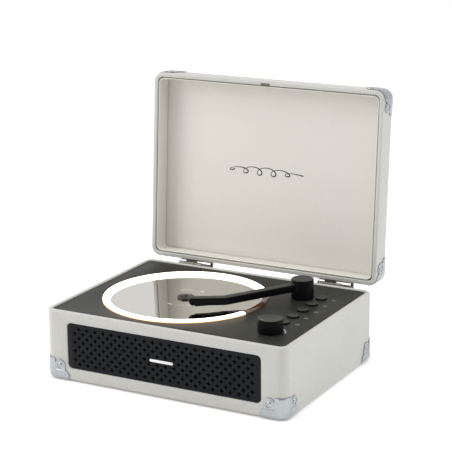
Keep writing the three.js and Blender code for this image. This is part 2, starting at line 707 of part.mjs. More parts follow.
// ---- Tonearm ----------------------------------------------------------------------
function tonearmBase() {
  const bore = POST_SHAFT_R + GAP;
  const bottom = DECK_UNDER - POST_NECK_DROP;
  const outline = [
    [bore, bottom], [POST_NECK_R, bottom], [POST_NECK_R, DECK_Z + GAP], [POST_R, DECK_Z + GAP],
    [POST_R, DECK_Z + POST_BASE_H], [bore, DECK_Z + POST_BASE_H],
  ];
  return mesh('tonearm_base', 'black', turned(outline, ARM_X, ARM_Y, 36));
}

// Everything that swings is drawn with the arm along +X and turned to its direction.
function alongArm(geometry) {
  return geometry.rotateZ(rad(ARM_DIR)).translate(ARM_X, ARM_Y, 0);
}

function crossBore(radius, half) {
  const geometry = new THREE.CylinderGeometry(radius, radius, 2 * half, 16);
  return geometry.translate(0, 0, ARM_PIN_Z);
}

function tonearmTurret() {
  const bottom = DECK_Z + POST_BASE_H + GAP;
  const shaftEnd = DECK_UNDER - POST_NECK_DROP + OVER;
  const outline = [
    [0, shaftEnd], [POST_SHAFT_R, shaftEnd], [POST_SHAFT_R, bottom], [POST_R, bottom],
    [POST_R, POST_TOP - POST_CHAMFER], [POST_R - POST_CHAMFER, POST_TOP], [0, POST_TOP],
  ];
  const body = turned(outline, 0, 0, 36);
  const armTop = DECK_Z + ARM_TOP_PIVOT;
  const half = ARM_W / 2 + RUN;
  const slot = box(
    -ARM_TAIL - SLOT_ROOM, POST_R + OVER, -half, half, armTop - ARM_T - SLOT_ROOM, armTop + SLOT_ABOVE,
  );
  const bore = crossBore(ARM_PIN_R + GAP / 2, POST_R + OVER);
  return mesh('tonearm_turret', 'black', alongArm(cut(body, slot, bore)));
}

function tonearmPin() {
  return mesh('tonearm_pivot_pin', 'steel', alongArm(crossBore(ARM_PIN_R, POST_R - 1)));
}

// The arm's stations run from its tail to its tip: distance along, sideways, top height.
function armStations() {
  const turn = rad(HEAD_DIR - ARM_DIR);
  const slope = (ARM_TOP_BEND - ARM_TOP_PIVOT) / ARM_LEN;
  const rise = (ARM_TOP_TIP - ARM_TOP_BEND) / HEAD_LEN;
  const onArm = (s) => ({ x: s, y: 0, z: ARM_TOP_PIVOT + slope * s, heading: 0 });
  const onHead = (s) => ({
    x: ARM_LEN + s * Math.cos(turn), y: s * Math.sin(turn), z: ARM_TOP_BEND + rise * s, heading: turn,
  });
  const before = onArm(ARM_LEN - BEND_REACH);
  const after = onHead(BEND_REACH);
  const middle = {
    x: (before.x + 2 * ARM_LEN + after.x) / 4,
    y: (before.y + after.y) / 4,
    z: (before.z + 2 * ARM_TOP_BEND + after.z) / 4,
    heading: turn / 2,
  };
  return [onArm(-ARM_TAIL), before, middle, after, onHead(HEAD_LEN - TIP_TAPER), onHead(HEAD_LEN)];
}

function armSection({ x, y, z, heading }, shrink) {
  const half = ARM_W / 2 - shrink;
  const flat = half - ARM_CHAMFER;
  const under = -ARM_T + shrink;
  const outline = [
    [flat, 0], [-flat, 0], [-half, -ARM_CHAMFER], [-half, under + ARM_CHAMFER],
    [-flat, under], [flat, under], [half, under + ARM_CHAMFER], [half, -ARM_CHAMFER],
  ];
  return outline.map(([side, height]) => new THREE.Vector3(
    x - side * Math.sin(heading), y + side * Math.cos(heading), DECK_Z + z + height,
  ));
}

function headPocket(grow, z0, z1) {
  const turn = rad(HEAD_DIR - ARM_DIR);
  const middle = HEAD_LEN - CARTRIDGE_SETBACK - CARTRIDGE_L / 2;
  const half = CARTRIDGE_L / 2 + grow;
  const side = CARTRIDGE_W / 2 + grow;
  return box(middle - half, middle + half, -side, side, z0, z1).rotateZ(turn).translate(ARM_LEN, 0, 0);
}

function tonearm() {
  const stations = armStations();
  const rings = stations.map((station, i) => armSection(station, i === stations.length - 1 ? TIP_SHRINK : 0));
  const under = DECK_Z + ARM_TOP_BEND - ARM_T;
  const pocketTop = under + POCKET_DEPTH;
  const bar = cut(loft(rings), crossBore(ARM_PIN_R + GAP, ARM_W), headPocket(GAP, under - OVER, pocketTop));
  const low = DECK_Z + ARM_TOP_TIP - ARM_T - CARTRIDGE_SHOW;
  const cartridge = headPocket(0, low, pocketTop - GAP);
  const turn = rad(HEAD_DIR - ARM_DIR);
  const tipAt = HEAD_LEN - CARTRIDGE_SETBACK - STYLUS_SETBACK;
  const stylus = new THREE.CylinderGeometry(STYLUS_R, STYLUS_TIP_R, STYLUS_H, 8).rotateX(Math.PI / 2);
  stylus.translate(ARM_LEN + tipAt * Math.cos(turn), tipAt * Math.sin(turn), low - GAP - STYLUS_H / 2);
  return [
    mesh('tonearm_bar', 'black', alongArm(bar)),
    mesh('cartridge', 'black', alongArm(cartridge)),
    mesh('stylus', 'steel', alongArm(stylus)),
  ];
}

// ---- Controls ---------------------------------------------------------------------
function volumePot() {
  const top = DECK_UNDER - GAP;
  const body = cylinder(POT_R, top - POT_H, top, KNOB_X, KNOB_Y);
  const bushing = cylinder(POT_BUSH_R, top - OVER, DECK_Z + GAP, KNOB_X, KNOB_Y, 16);
  const shaft = cylinder(POT_SHAFT_R, DECK_Z, DECK_Z + KNOB_H - KNOB_ROOF - RUN, KNOB_X, KNOB_Y, 16);
  return mesh('volume_pot', 'steel', add(body, bushing, shaft));
}

function volumeKnob() {
  const bore = POT_SHAFT_R + GAP;
  const bottom = DECK_Z + 2 * RUN;
  const top = DECK_Z + KNOB_H;
  const outline = [
    [0, top - KNOB_ROOF], [bore, top - KNOB_ROOF], [bore, bottom], [KNOB_R, bottom],
    [KNOB_R, top - KNOB_CHAMFER], [KNOB_R - KNOB_CHAMFER, top], [0, top],
  ];
  return mesh('volume_knob', 'black', turned(outline, KNOB_X, KNOB_Y, 32));
}

function buttons() {
  return BUTTON_NAMES.map((name, i) => {
    const top = DECK_Z + BUTTON_RISE;
    const bottom = top - BUTTON_DEPTH;
    const outline = [
      [0, bottom], [BUTTON_R, bottom], [BUTTON_R, top - BUTTON_CHAMFER],
      [BUTTON_R - BUTTON_CHAMFER, top], [0, top],
    ];
    return mesh(`button_${name}`, 'deck', turned(outline, BUTTON_X, buttonYs()[i], 24));
  });
}

function indicatorLens() {
  const lens = cylinder(LENS_R, DECK_UNDER - OVER, DECK_Z + GAP, LENS_X, LENS_Y, 12);
  return mesh('indicator_lens', 'black', lens);
}

// ---- Hinges: the barrel lies along X, the base leaf below it and the lid leaf above ---
function leaf(x, direction, knuckles) {
  const plateY = REAR_Y + GAP;
  const rootZ = HINGE_Z + direction * LEAF_ROOT;
  const endZ = rootZ + direction * LEAF_LEN;
  const low = Math.min(rootZ, endZ);
  const high = Math.max(rootZ, endZ);
  const sheet = box(x - HINGE_LEN / 2, x + HINGE_LEN / 2, plateY, plateY + LEAF_T, low, high);
  const pieces = [sheet];
  for (const [x0, x1] of knuckles) {
    pieces.push(barAlongX(KNUCKLE_R, x + x0, x + x1, HINGE_Y, HINGE_Z));
    const webNear = HINGE_Z + direction * WEB_NEAR;
    const webFar = HINGE_Z + direction * WEB_FAR;
    pieces.push(box(
      x + x0, x + x1, plateY, HINGE_Y, Math.min(webNear, webFar), Math.max(webNear, webFar),
    ));
  }
  return pieces;
}

function hingeBore(x) {
  return barAlongX(HINGE_PIN_R + GAP, x - HINGE_LEN, x + HINGE_LEN, HINGE_Y, HINGE_Z, 12);
}

function hingeBase(side, sign) {
  const x = sign * HINGE_X;
  const end = HINGE_LEN / 2;
  const pieces = leaf(x, -1, [[-end, -end / 2], [end / 2, end]]);
  return mesh(`hinge_base_leaf_${side}`, 'steel', cut(add(...pieces), hingeBore(x)));
}

function hingePin(side, sign) {
  const x = sign * HINGE_X;
  const end = HINGE_LEN / 2 + HINGE_PIN_END;
  return mesh(`hinge_pin_${side}`, 'steel', barAlongX(HINGE_PIN_R, x - end, x + end, HINGE_Y, HINGE_Z, 12));
}

// The stop is a bar that runs on past the barrel, then a hooked arm whose end meets the
// rear wall when the lid stands open. It is drawn here with the lid closed.
function hingeLid(side, sign) {
  const x = sign * HINGE_X;
  const middle = HINGE_LEN / 4 - RUN;
  const pieces = leaf(x, 1, [[-middle, middle]]);
  const end = x + HINGE_LEN / 2 + STOP_REACH;
  const plateY = REAR_Y + GAP;
  const armBack = HINGE_Y + STOP_BACK;
  const barLow = HINGE_Z + KNUCKLE_R + STOP_LIFT;
  const barHigh = barLow + STOP_BAR_H;
  const open = rad(LID_OPEN);
  const tip = -((HINGE_BACK - GAP) + STOP_BACK * Math.cos(open)) / Math.sin(open);
  pieces.push(box(x, end, plateY, plateY + LEAF_T, barLow, barHigh));
  pieces.push(box(end - STOP_W, end, plateY, armBack, barLow, barHigh));
  pieces.push(box(end - STOP_W, end, armBack - STOP_T, armBack, HINGE_Z + tip, barHigh));
  return mesh(`hinge_lid_leaf_${side}`, 'steel', cut(add(...pieces), hingeBore(x)));
}

// ---- Lid: drawn closed, then turned open about the hinge axis ---------------------
function lidShell() {
  const outer = plate(CASE_W, CASE_D, CASE_R, LID_Z0, LID_Z1);
  const inside = CASE_W - 2 * WALL;
  const hollow = plate(inside, CASE_D - 2 * WALL, CASE_R - WALL, LID_Z0 - OVER, LID_Z1 - LID_TOP_T);
  const notch = catchBox(GAP);
  return mesh('lid_shell', 'vinyl', cut(outer, hollow, notch));
}

function catchBox(grow) {
  const inner = FRONT_Y + WALL;
  return box(
    -CATCH_W / 2 - grow, CATCH_W / 2 + grow, inner - CATCH_D - grow, inner + grow / 2,
    LID_Z0 - grow, LID_Z0 + CATCH_H + grow,
  );
}

function lidCatch() {
  const inner = FRONT_Y + WALL;
  const block = box(-CATCH_W / 2, CATCH_W / 2, inner - CATCH_D, inner, LID_Z0, LID_Z0 + CATCH_H);
  return mesh('lid_catch_plate', 'steel', block);
}

function lidLining() {
  const grow = 2 * (WALL + GAP);
  const wall = 2 * LINING_T;
  const top = LID_Z1 - LID_TOP_T - GAP;
  const outer = plate(CASE_W - grow, CASE_D - grow, LINING_R, LID_Z0, top);
  const hollow = plate(
    CASE_W - grow - wall, CASE_D - grow - wall, LINING_R - LINING_T, LID_Z0 - OVER, top - LINING_T,
  );
  return mesh('lid_lining', 'lining', cut(outer, hollow));
}

function lid() {
  const closed = new THREE.Group();
  closed.position.set(0, -HINGE_Y, -HINGE_Z);
  closed.add(
    lidShell(), lidLining(), lidCatch(), ...cornerCaps('lid', LID_Z1, 1),
    hingeLid('left', -1), hingeLid('right', 1),
  );
  const turnedOpen = new THREE.Group();
  turnedOpen.position.set(0, HINGE_Y, HINGE_Z);
  turnedOpen.rotation.x = -rad(LID_OPEN);
  turnedOpen.add(closed);
  return turnedOpen;
}

// ---- Assembly ---------------------------------------------------------------------
function player() {
  const whole = new THREE.Group();
  whole.add(
    caseShell(), bottomPanel(), ...feet(), ...cornerCaps('case', FOOT_H, -1),
    grillePanel(), speaker('left', -1), speaker('right', 1),
    mainBoard(), controlBoard(), socketPanel(), ...sockets(),
    deckPlate(), ...lightRing(), platterWell(), spindleBush(), motor(), motorPulley(), driveBelt(),
    ...platter(), tonearmBase(), tonearmTurret(), tonearmPin(), ...tonearm(),
    volumePot(), volumeKnob(), ...buttons(), indicatorLens(),
    hingeBase('left', -1), hingeBase('right', 1), hingePin('left', -1), hingePin('right', 1),
    lid(),
  );
  return whole;
}

// The origin is the middle of the footprint, with the lid open, on the surface it stands on.
const group = player();
const extent = new THREE.Box3().setFromObject(group, true);
group.position.y = -(extent.min.y + extent.max.y) / 2;
group.updateMatrixWorld(true);

export default group;
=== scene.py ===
"""Looks of a suitcase record player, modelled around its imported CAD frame.

The case and the lid are covered in off-white leatherette, with chrome corner caps. The deck
holds a mirror platter in a lit ring, a tonearm, a volume knob and five push buttons.
"""

import json
import logging
import math
from dataclasses import dataclass, field
from enum import Enum
from typing import Callable, Sequence

import bpy
from mathutils import Matrix, Vector


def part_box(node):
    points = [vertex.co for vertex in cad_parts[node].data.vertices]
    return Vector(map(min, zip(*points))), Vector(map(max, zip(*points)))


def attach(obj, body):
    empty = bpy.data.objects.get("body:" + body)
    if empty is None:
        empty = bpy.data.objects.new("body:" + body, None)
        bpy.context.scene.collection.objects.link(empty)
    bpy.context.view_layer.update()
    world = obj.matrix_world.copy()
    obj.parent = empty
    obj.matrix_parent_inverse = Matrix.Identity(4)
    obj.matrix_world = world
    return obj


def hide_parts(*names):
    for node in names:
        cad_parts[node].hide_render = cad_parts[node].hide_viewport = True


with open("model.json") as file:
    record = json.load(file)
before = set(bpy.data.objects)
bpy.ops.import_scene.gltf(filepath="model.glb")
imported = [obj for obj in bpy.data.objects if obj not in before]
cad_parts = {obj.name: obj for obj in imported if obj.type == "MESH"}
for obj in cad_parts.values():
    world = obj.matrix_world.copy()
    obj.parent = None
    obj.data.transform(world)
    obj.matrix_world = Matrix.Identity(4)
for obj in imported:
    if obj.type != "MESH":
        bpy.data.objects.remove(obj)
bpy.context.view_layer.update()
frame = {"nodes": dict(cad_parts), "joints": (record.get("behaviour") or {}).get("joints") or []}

LOG = logging.getLogger("record_player")

MM = 0.001
GAP = 0.3 * MM  # between pieces that are fixed to each other
# The tonearm, post, knob and buttons take two copies of one black: a lighter one on the tops as painted
# light, a darker one on the side faces as painted shade.
TOP_FACING = 0.75  # faces whose normal rises more than this count as tops
CUT_WELD = 1e-7  # points closer than this are joined where a plane cuts
NEAR = 1e-6  # places closer than this are the same
WHITE = (1.0, 1.0, 1.0, 1.0)

Colour = tuple[float, float, float]
Piece = bpy.types.Object
EdgeTest = Callable[[Vector, Vector], bool]
FaceTest = Callable[[Vector, Vector], bool]


class Slot(Enum):
    """The record's material slots."""

    LEATHERETTE = "white_leatherette"
    LINING = "lid_lining"
    CHROME = "chrome"
    NICKEL = "nickel_steel"
    DECK = "deck_satin"
    BLACK = "black_satin"
    GRILLE = "grille_black"
    MIRROR = "platter_mirror"
    LIGHT = "ring_light"
    # Slot of the ring's dark stretch, a painted reflection of the tonearm.
    PAINTED_REFLECTION = "ring_copper"
    RUBBER = "rubber"
    BOARD = "circuit_board"
    BRASS = "brass"
    FIBRE = "fibreboard"


class Grain(Enum):
    """The surface textures, each a shader node group."""

    LEATHER = "leather_grain"
    MOULDED = "moulded_grain"
    BRUSHED = "brushed_grain"
    FIBRE = "fibre_grain"


class Body(Enum):
    """The moving bodies of the frame that new pieces ride on."""

    ROOT = "root"
    LID = "lid"
    PLATTER = "platter"
    SWIVEL = "tonearm_swivel"
    ARM = "tonearm"
    KNOB = "knob"


@dataclass(frozen=True)
class Finish:
    """One material: its colours, its grain and how it takes the light.

    Scale is in grain cells per metre, and depth is the height of the grain in metres.
    """

    name: str
    slot: Slot
    grain: Grain
    colour: Colour
    second: Colour
    scale: float
    roughness: float
    spread: float = 0.08
    depth: float = 0.0
    metallic: float = 0.0
    coat: float = 0.0
    wear: float = 0.0
    emission: float = 0.0
    specular: float = 0.5


# ---- Finishes ----------------------------------------------------------------
LEATHERETTE = Finish("covering", Slot.LEATHERETTE, Grain.LEATHER, (0.54, 0.54, 0.51), (0.45, 0.445, 0.415),
                     900, 0.5, 0.1, 0.00012, wear=0.12)
LINING = Finish("lining_paper", Slot.LINING, Grain.FIBRE, (0.685, 0.665, 0.62), (0.64, 0.62, 0.575),
                500, 0.62, 0.06, 0.00005)
CHROME = Finish("chrome_plate", Slot.CHROME, Grain.BRUSHED, (0.44, 0.465, 0.48), (0.3, 0.32, 0.335),
                260, 0.13, 0.08, 0.00001, metallic=1.0, wear=0.1)
NICKEL = Finish("nickel_plate", Slot.NICKEL, Grain.BRUSHED, (0.15, 0.135, 0.105), (0.035, 0.03, 0.023),
                420, 0.3, 0.16, 0.00002, metallic=1.0, wear=0.2)
DECK = Finish("deck_paint", Slot.DECK, Grain.MOULDED, (0.0145, 0.015, 0.012), (0.023, 0.024, 0.0195),
              2400, 0.45, 0.08, 0.00002, wear=0.05, specular=0.18)
SATIN = Finish("satin_black", Slot.BLACK, Grain.MOULDED, (0.0025, 0.0025, 0.0035), (0.005, 0.005, 0.006),
               2600, 0.33, 0.1, 0.00002, wear=0.005, specular=0.05)
# Lighter copy of the satin black for the tops of the tonearm, post, knob and buttons: painted top light.
PAINTED_LIT_TOP = Finish("black_with_painted_top_light", Slot.BLACK, Grain.MOULDED, (0.036, 0.037, 0.033), (0.046, 0.048, 0.043),
                 2600, 0.42, 0.08, 0.00002, wear=0.01, specular=0.11)
GRILLE = Finish("grille_paint", Slot.GRILLE, Grain.MOULDED, (0.0025, 0.003, 0.004), (0.005, 0.006, 0.0075),
                1800, 0.42, 0.1, 0.00003, wear=0.06, specular=0.14)
CLOTH = Finish("speaker_cloth", Slot.GRILLE, Grain.FIBRE, (0.002, 0.002, 0.003), (0.006, 0.006, 0.007),
               1400, 0.95, 0.02, 0.0001)
MIRROR = Finish("mirror_plate", Slot.MIRROR, Grain.BRUSHED, (0.63, 0.615, 0.58), (0.61, 0.595, 0.56),
                90, 0.035, 0.02, metallic=1.0)
DARK_CHROME = Finish("dark_chrome", Slot.NICKEL, Grain.BRUSHED, (0.085, 0.08, 0.078), (0.05, 0.046, 0.045),
                     300, 0.2, 0.06, metallic=1.0)
LIGHT = Finish("ring_diffuser", Slot.LIGHT, Grain.MOULDED, (1.0, 0.93, 0.8), (0.48, 0.26, 0.12),
               300, 0.35, emission=2.3)
# Dark copper-brown of the ring's unlit stretch: painted reflection and shade of the tonearm, with copper
# glints of leaked glow painted in.
PAINTED_REFLECTION = Finish("ring_cover", Slot.PAINTED_REFLECTION, Grain.MOULDED, (0.055, 0.028, 0.016), (0.11, 0.052, 0.026),
                160, 0.14, 0.05, coat=0.6)
RUBBER = Finish("foot_rubber", Slot.RUBBER, Grain.MOULDED, (0.018, 0.018, 0.018), (0.03, 0.03, 0.03),
                1500, 0.85, 0.08, 0.00005)
BOARD = Finish("board_resist", Slot.BOARD, Grain.MOULDED, (0.012, 0.1, 0.045), (0.02, 0.14, 0.06),
               400, 0.4, 0.1, 0.00002)
BRASS = Finish("turned_brass", Slot.BRASS, Grain.BRUSHED, (0.42, 0.27, 0.09), (0.3, 0.19, 0.06),
               500, 0.3, 0.1, 0.00001, metallic=1.0)
FIBRE = Finish("pressed_fibre", Slot.FIBRE, Grain.FIBRE, (0.36, 0.25, 0.14), (0.25, 0.165, 0.09),
               350, 0.8, 0.1, 0.0001)
PRINT = Finish("pale_print", Slot.BLACK, Grain.MOULDED, (0.34, 0.34, 0.32), (0.3, 0.3, 0.28),
               1500, 0.55, 0.05)
BADGE = Finish("badge_metal", Slot.NICKEL, Grain.BRUSHED, (0.8, 0.8, 0.79), (0.7, 0.7, 0.69),
               400, 0.4, 0.06, metallic=0.5)
INK = Finish("dark_ink", Slot.BLACK, Grain.MOULDED, (0.006, 0.005, 0.005), (0.01, 0.009, 0.009),
             1500, 0.6, 0.05, specular=0.1)
FLOOR_COLOUR: Colour = (0.93, 0.93, 0.925)
FLOOR_GLOW = 0.2
FLOOR_SIZE = 14
FLOOR_ROUGHNESS = 0.9
SHADED_ROOM = (0.32, 0.32, 0.33, 1.0)
ROOM_STRENGTH = 0.95
PEBBLE_WARP, LEATHER_PATCH = 160.0, 14.0  # grain cells per metre
TONE_PATCH, CLOUD_PATCH, FIBRE_PATCH, WEAR_PATCH = 22.0, 45.0, 11.0, 120.0
EDGE_FROM, EDGE_TO = 0.52, 0.62  # pointiness where wear starts and is full
GLOW_FROM, GLOW_TO = 0.15, 0.8  # how far a face turns up or inwards, from amber to white-hot


# ---- Shader groups and materials ---------------------------------------------
class Wiring:
    """Adds and links the nodes of one node tree."""

    def __init__(self, tree: bpy.types.NodeTree) -> None:
        """Takes the tree over and empties it.

        Args:
            tree: The node tree to fill.
        """
        self.tree = tree
        tree.nodes.clear()

    def node(self, kind: str, values: dict | None = None, **settings: object) -> bpy.types.Node:
        """Adds a node.

        Args:
            kind: The node's type, without its ShaderNode prefix where it has one.
            values: Input values or sockets to link from, by input name or number.
            settings: Attributes of the node itself.

        Returns:
            The new node.
        """
        made = self.tree.nodes.new(kind if kind.startswith("Node") else "ShaderNode" + kind)
        for name, value in settings.items():
            setattr(made, name, value)
        for key, value in (values or {}).items():
            if isinstance(value, bpy.types.NodeSocket):
                self.tree.links.new(value, made.inputs[key])
            else:
                made.inputs[key].default_value = value
        return made

    def maths(self, operation: str, first: object, second: object = 0.0) -> bpy.types.NodeSocket:
        """Adds a Math node and gives back its output."""
        return self.node("Math", {0: first, 1: second}, operation=operation).outputs[0]

    def mix(self, factor: object, first: object, second: object) -> bpy.types.NodeSocket:
        """Adds a colour Mix node and gives back its output."""
        return self.node("Mix", {0: factor, 6: first, 7: second}, data_type="RGBA").outputs[2]

    def noise(self, vector: bpy.types.NodeSocket, scale: object,
              detail: float = 3.0) -> bpy.types.NodeSocket:
        """Adds a Noise Texture and gives back its factor."""
        return self.node("TexNoise", {"Vector": vector, "Scale": scale, "Detail": detail}).outputs[0]


class GrainGroups:
    """The shader node groups that the materials share, each built once."""

    def __init__(self) -> None:
        """Builds every grain group and the edge wear group."""
        makers = {
            Grain.LEATHER: self.leather,
            Grain.MOULDED: self.moulded,
            Grain.BRUSHED: self.brushed,
            Grain.FIBRE: self.fibre,
        }
        self.groups = {grain: self.grain_group(grain.value, maker) for grain, maker in makers.items()}
        self.wear = self.wear_group()

    @staticmethod
    def shell(name: str, inputs: Sequence[tuple[str, str]], outputs: Sequence[tuple[str, str]]) -> tuple:
        """Starts a node group with named sockets.

        Args:
            name: The group's name.
            inputs: Name and kind of each input socket.
            outputs: Name and kind of each output socket.

        Returns:
            The group, its wiring, its input node and its output node.
        """
        group = bpy.data.node_groups.new(name, "ShaderNodeTree")
        for title, kind in inputs:
            group.interface.new_socket(name=title, in_out="INPUT", socket_type="NodeSocket" + kind)
        for title, kind in outputs:
            group.interface.new_socket(name=title, in_out="OUTPUT", socket_type="NodeSocket" + kind)
        wiring = Wiring(group)
        return group, wiring, wiring.node("NodeGroupInput"), wiring.node("NodeGroupOutput")

    def grain_group(self, name: str, maker: Callable) -> bpy.types.NodeTree:
        """Builds one grain group around the function that gives its colour mask and height.

        Args:
            name: The group's name.
            maker: Takes the wiring, the vector and the scale, and gives back mask and height.

        Returns:
            The finished group.
        """
        group, wiring, start, end = self.shell(
            name,
            [("Vector", "Vector"), ("Scale", "Float"), ("Colour", "Color"), ("Second Colour", "Color"),
             ("Roughness", "Float"), ("Spread", "Float")],
            [("Colour", "Color"), ("Roughness", "Float"), ("Height", "Float")],
        )
        mask, height = maker(wiring, start.outputs["Vector"], start.outputs["Scale"])
        colour = wiring.mix(mask, start.outputs["Colour"], start.outputs["Second Colour"])
        swing = wiring.maths("MULTIPLY", wiring.maths("SUBTRACT", mask, 0.5), start.outputs["Spread"])
        wiring.tree.links.new(colour, end.inputs["Colour"])
        rough = wiring.maths("ADD", swing, start.outputs["Roughness"])
        wiring.tree.links.new(rough, end.inputs["Roughness"])
        wiring.tree.links.new(height, end.inputs["Height"])
        return group

    @staticmethod
    def leather(wiring: Wiring, vector: bpy.types.NodeSocket, scale: bpy.types.NodeSocket) -> tuple:
        """Pebbled leatherette: rounded cells with creases between them, and broad soft patches.

        Args:
            wiring: The wiring to add nodes to.
            vector: The place on the piece.
            scale: The grain cells per metre.

        Returns:
            Its mask and its height.
        """
        warp = wiring.node("TexNoise", {"Vector": vector, "Scale": PEBBLE_WARP, "Detail": 2.0})
        bent = wiring.node("VectorMath", {0: vector, 1: warp.outputs[1]}, operation="ADD")
        cells = wiring.node("TexVoronoi", {"Vector": vector, "Scale": scale, "Smoothness": 0.35},
                            feature="SMOOTH_F1").outputs["Distance"]
        fine = wiring.noise(bent.outputs[0], scale, 4.0)
        patch = wiring.noise(vector, LEATHER_PATCH, 2.0)
        crease = wiring.node("MapRange", {0: cells, 1: 0.25, 2: 0.75}).outputs[0]
        mask = wiring.maths("MULTIPLY", wiring.maths("ADD", crease, patch), 0.6)
        height = wiring.maths("SUBTRACT", wiring.maths("MULTIPLY", fine, 0.4), crease)
        return wiring.maths("MINIMUM", mask, 1.0), height

    @staticmethod
    def moulded(wiring: Wiring, vector: bpy.types.NodeSocket, scale: bpy.types.NodeSocket) -> tuple:
        """Spark-eroded moulding: an even fine stipple over slow changes of tone.

        Args:
            wiring: The wiring to add nodes to.
            vector: The place on the piece.
            scale: The grain cells per metre.

        Returns:
            Its mask and its height.
        """
        fine = wiring.noise(vector, scale, 2.0)
        slow = wiring.noise(vector, TONE_PATCH, 3.0)
        mask = wiring.maths("ADD", wiring.maths("MULTIPLY", fine, 0.45),
                            wiring.maths("MULTIPLY", slow, 0.55))
        return mask, fine

    @staticmethod
    def brushed(wiring: Wiring, vector: bpy.types.NodeSocket, scale: bpy.types.NodeSocket) -> tuple:
        """Metal: long fine lines from the polishing wheel, with faint clouding.

        Args:
            wiring: The wiring to add nodes to.
            vector: The place on the piece.
            scale: The grain cells per metre.

        Returns:
            Its mask and its height.
        """
        drawn = wiring.node("Mapping", {"Vector": vector, "Scale": (0.12, 1.0, 1.0)}).outputs[0]
        lines = wiring.noise(drawn, scale, 5.0)
        cloud = wiring.noise(vector, CLOUD_PATCH, 2.0)
        mask = wiring.maths("ADD", wiring.maths("MULTIPLY", lines, 0.6),
                            wiring.maths("MULTIPLY", cloud, 0.4))
        return mask, lines

    @staticmethod
    def fibre(wiring: Wiring, vector: bpy.types.NodeSocket, scale: bpy.types.NodeSocket) -> tuple:
        """Paper, cloth and pressed board: crossed short fibres with soft patches.

        Args:
            wiring: The wiring to add nodes to.
            vector: The place on the piece.
            scale: The grain cells per metre.

        Returns:
            Its mask and its height.
        """
        along = wiring.node("Mapping", {"Vector": vector, "Scale": (1.0, 0.3, 0.3)}).outputs[0]
        across = wiring.node("Mapping", {"Vector": vector, "Scale": (0.3, 1.0, 1.0)}).outputs[0]
        weave = wiring.maths("MULTIPLY", wiring.noise(along, scale), wiring.noise(across, scale))
        patch = wiring.noise(vector, FIBRE_PATCH, 2.0)
        mask = wiring.maths("ADD", wiring.maths("MULTIPLY", weave, 1.2),
                            wiring.maths("MULTIPLY", patch, 0.5))
        return wiring.maths("MINIMUM", mask, 1.0), weave

    def wear_group(self) -> bpy.types.NodeTree:
        """Builds the edge wear group: sharp convex edges go lighter and smoother, in patches.

        Returns:
            The finished group.
        """
        group, wiring, start, end = self.shell(
            "edge_wear",
            [("Vector", "Vector"), ("Colour", "Color"), ("Roughness", "Float"), ("Amount", "Float")],
            [("Colour", "Color"), ("Roughness", "Float")],
        )
        point = wiring.node("NewGeometry").outputs["Pointiness"]
        edge = wiring.node("MapRange", {0: point, 1: EDGE_FROM, 2: EDGE_TO})
        patches = wiring.noise(start.outputs["Vector"], WEAR_PATCH)
        patchy = wiring.maths("MULTIPLY", edge.outputs[0], patches)
        amount = wiring.maths("MULTIPLY", patchy, start.outputs["Amount"])
        lighter = wiring.mix(amount, start.outputs["Colour"], WHITE)
        drop = wiring.maths("MULTIPLY", amount, 0.3)
        wiring.tree.links.new(lighter, end.inputs["Colour"])
        wiring.tree.links.new(
            wiring.maths("SUBTRACT", start.outputs["Roughness"], drop), end.inputs["Roughness"])
        return group


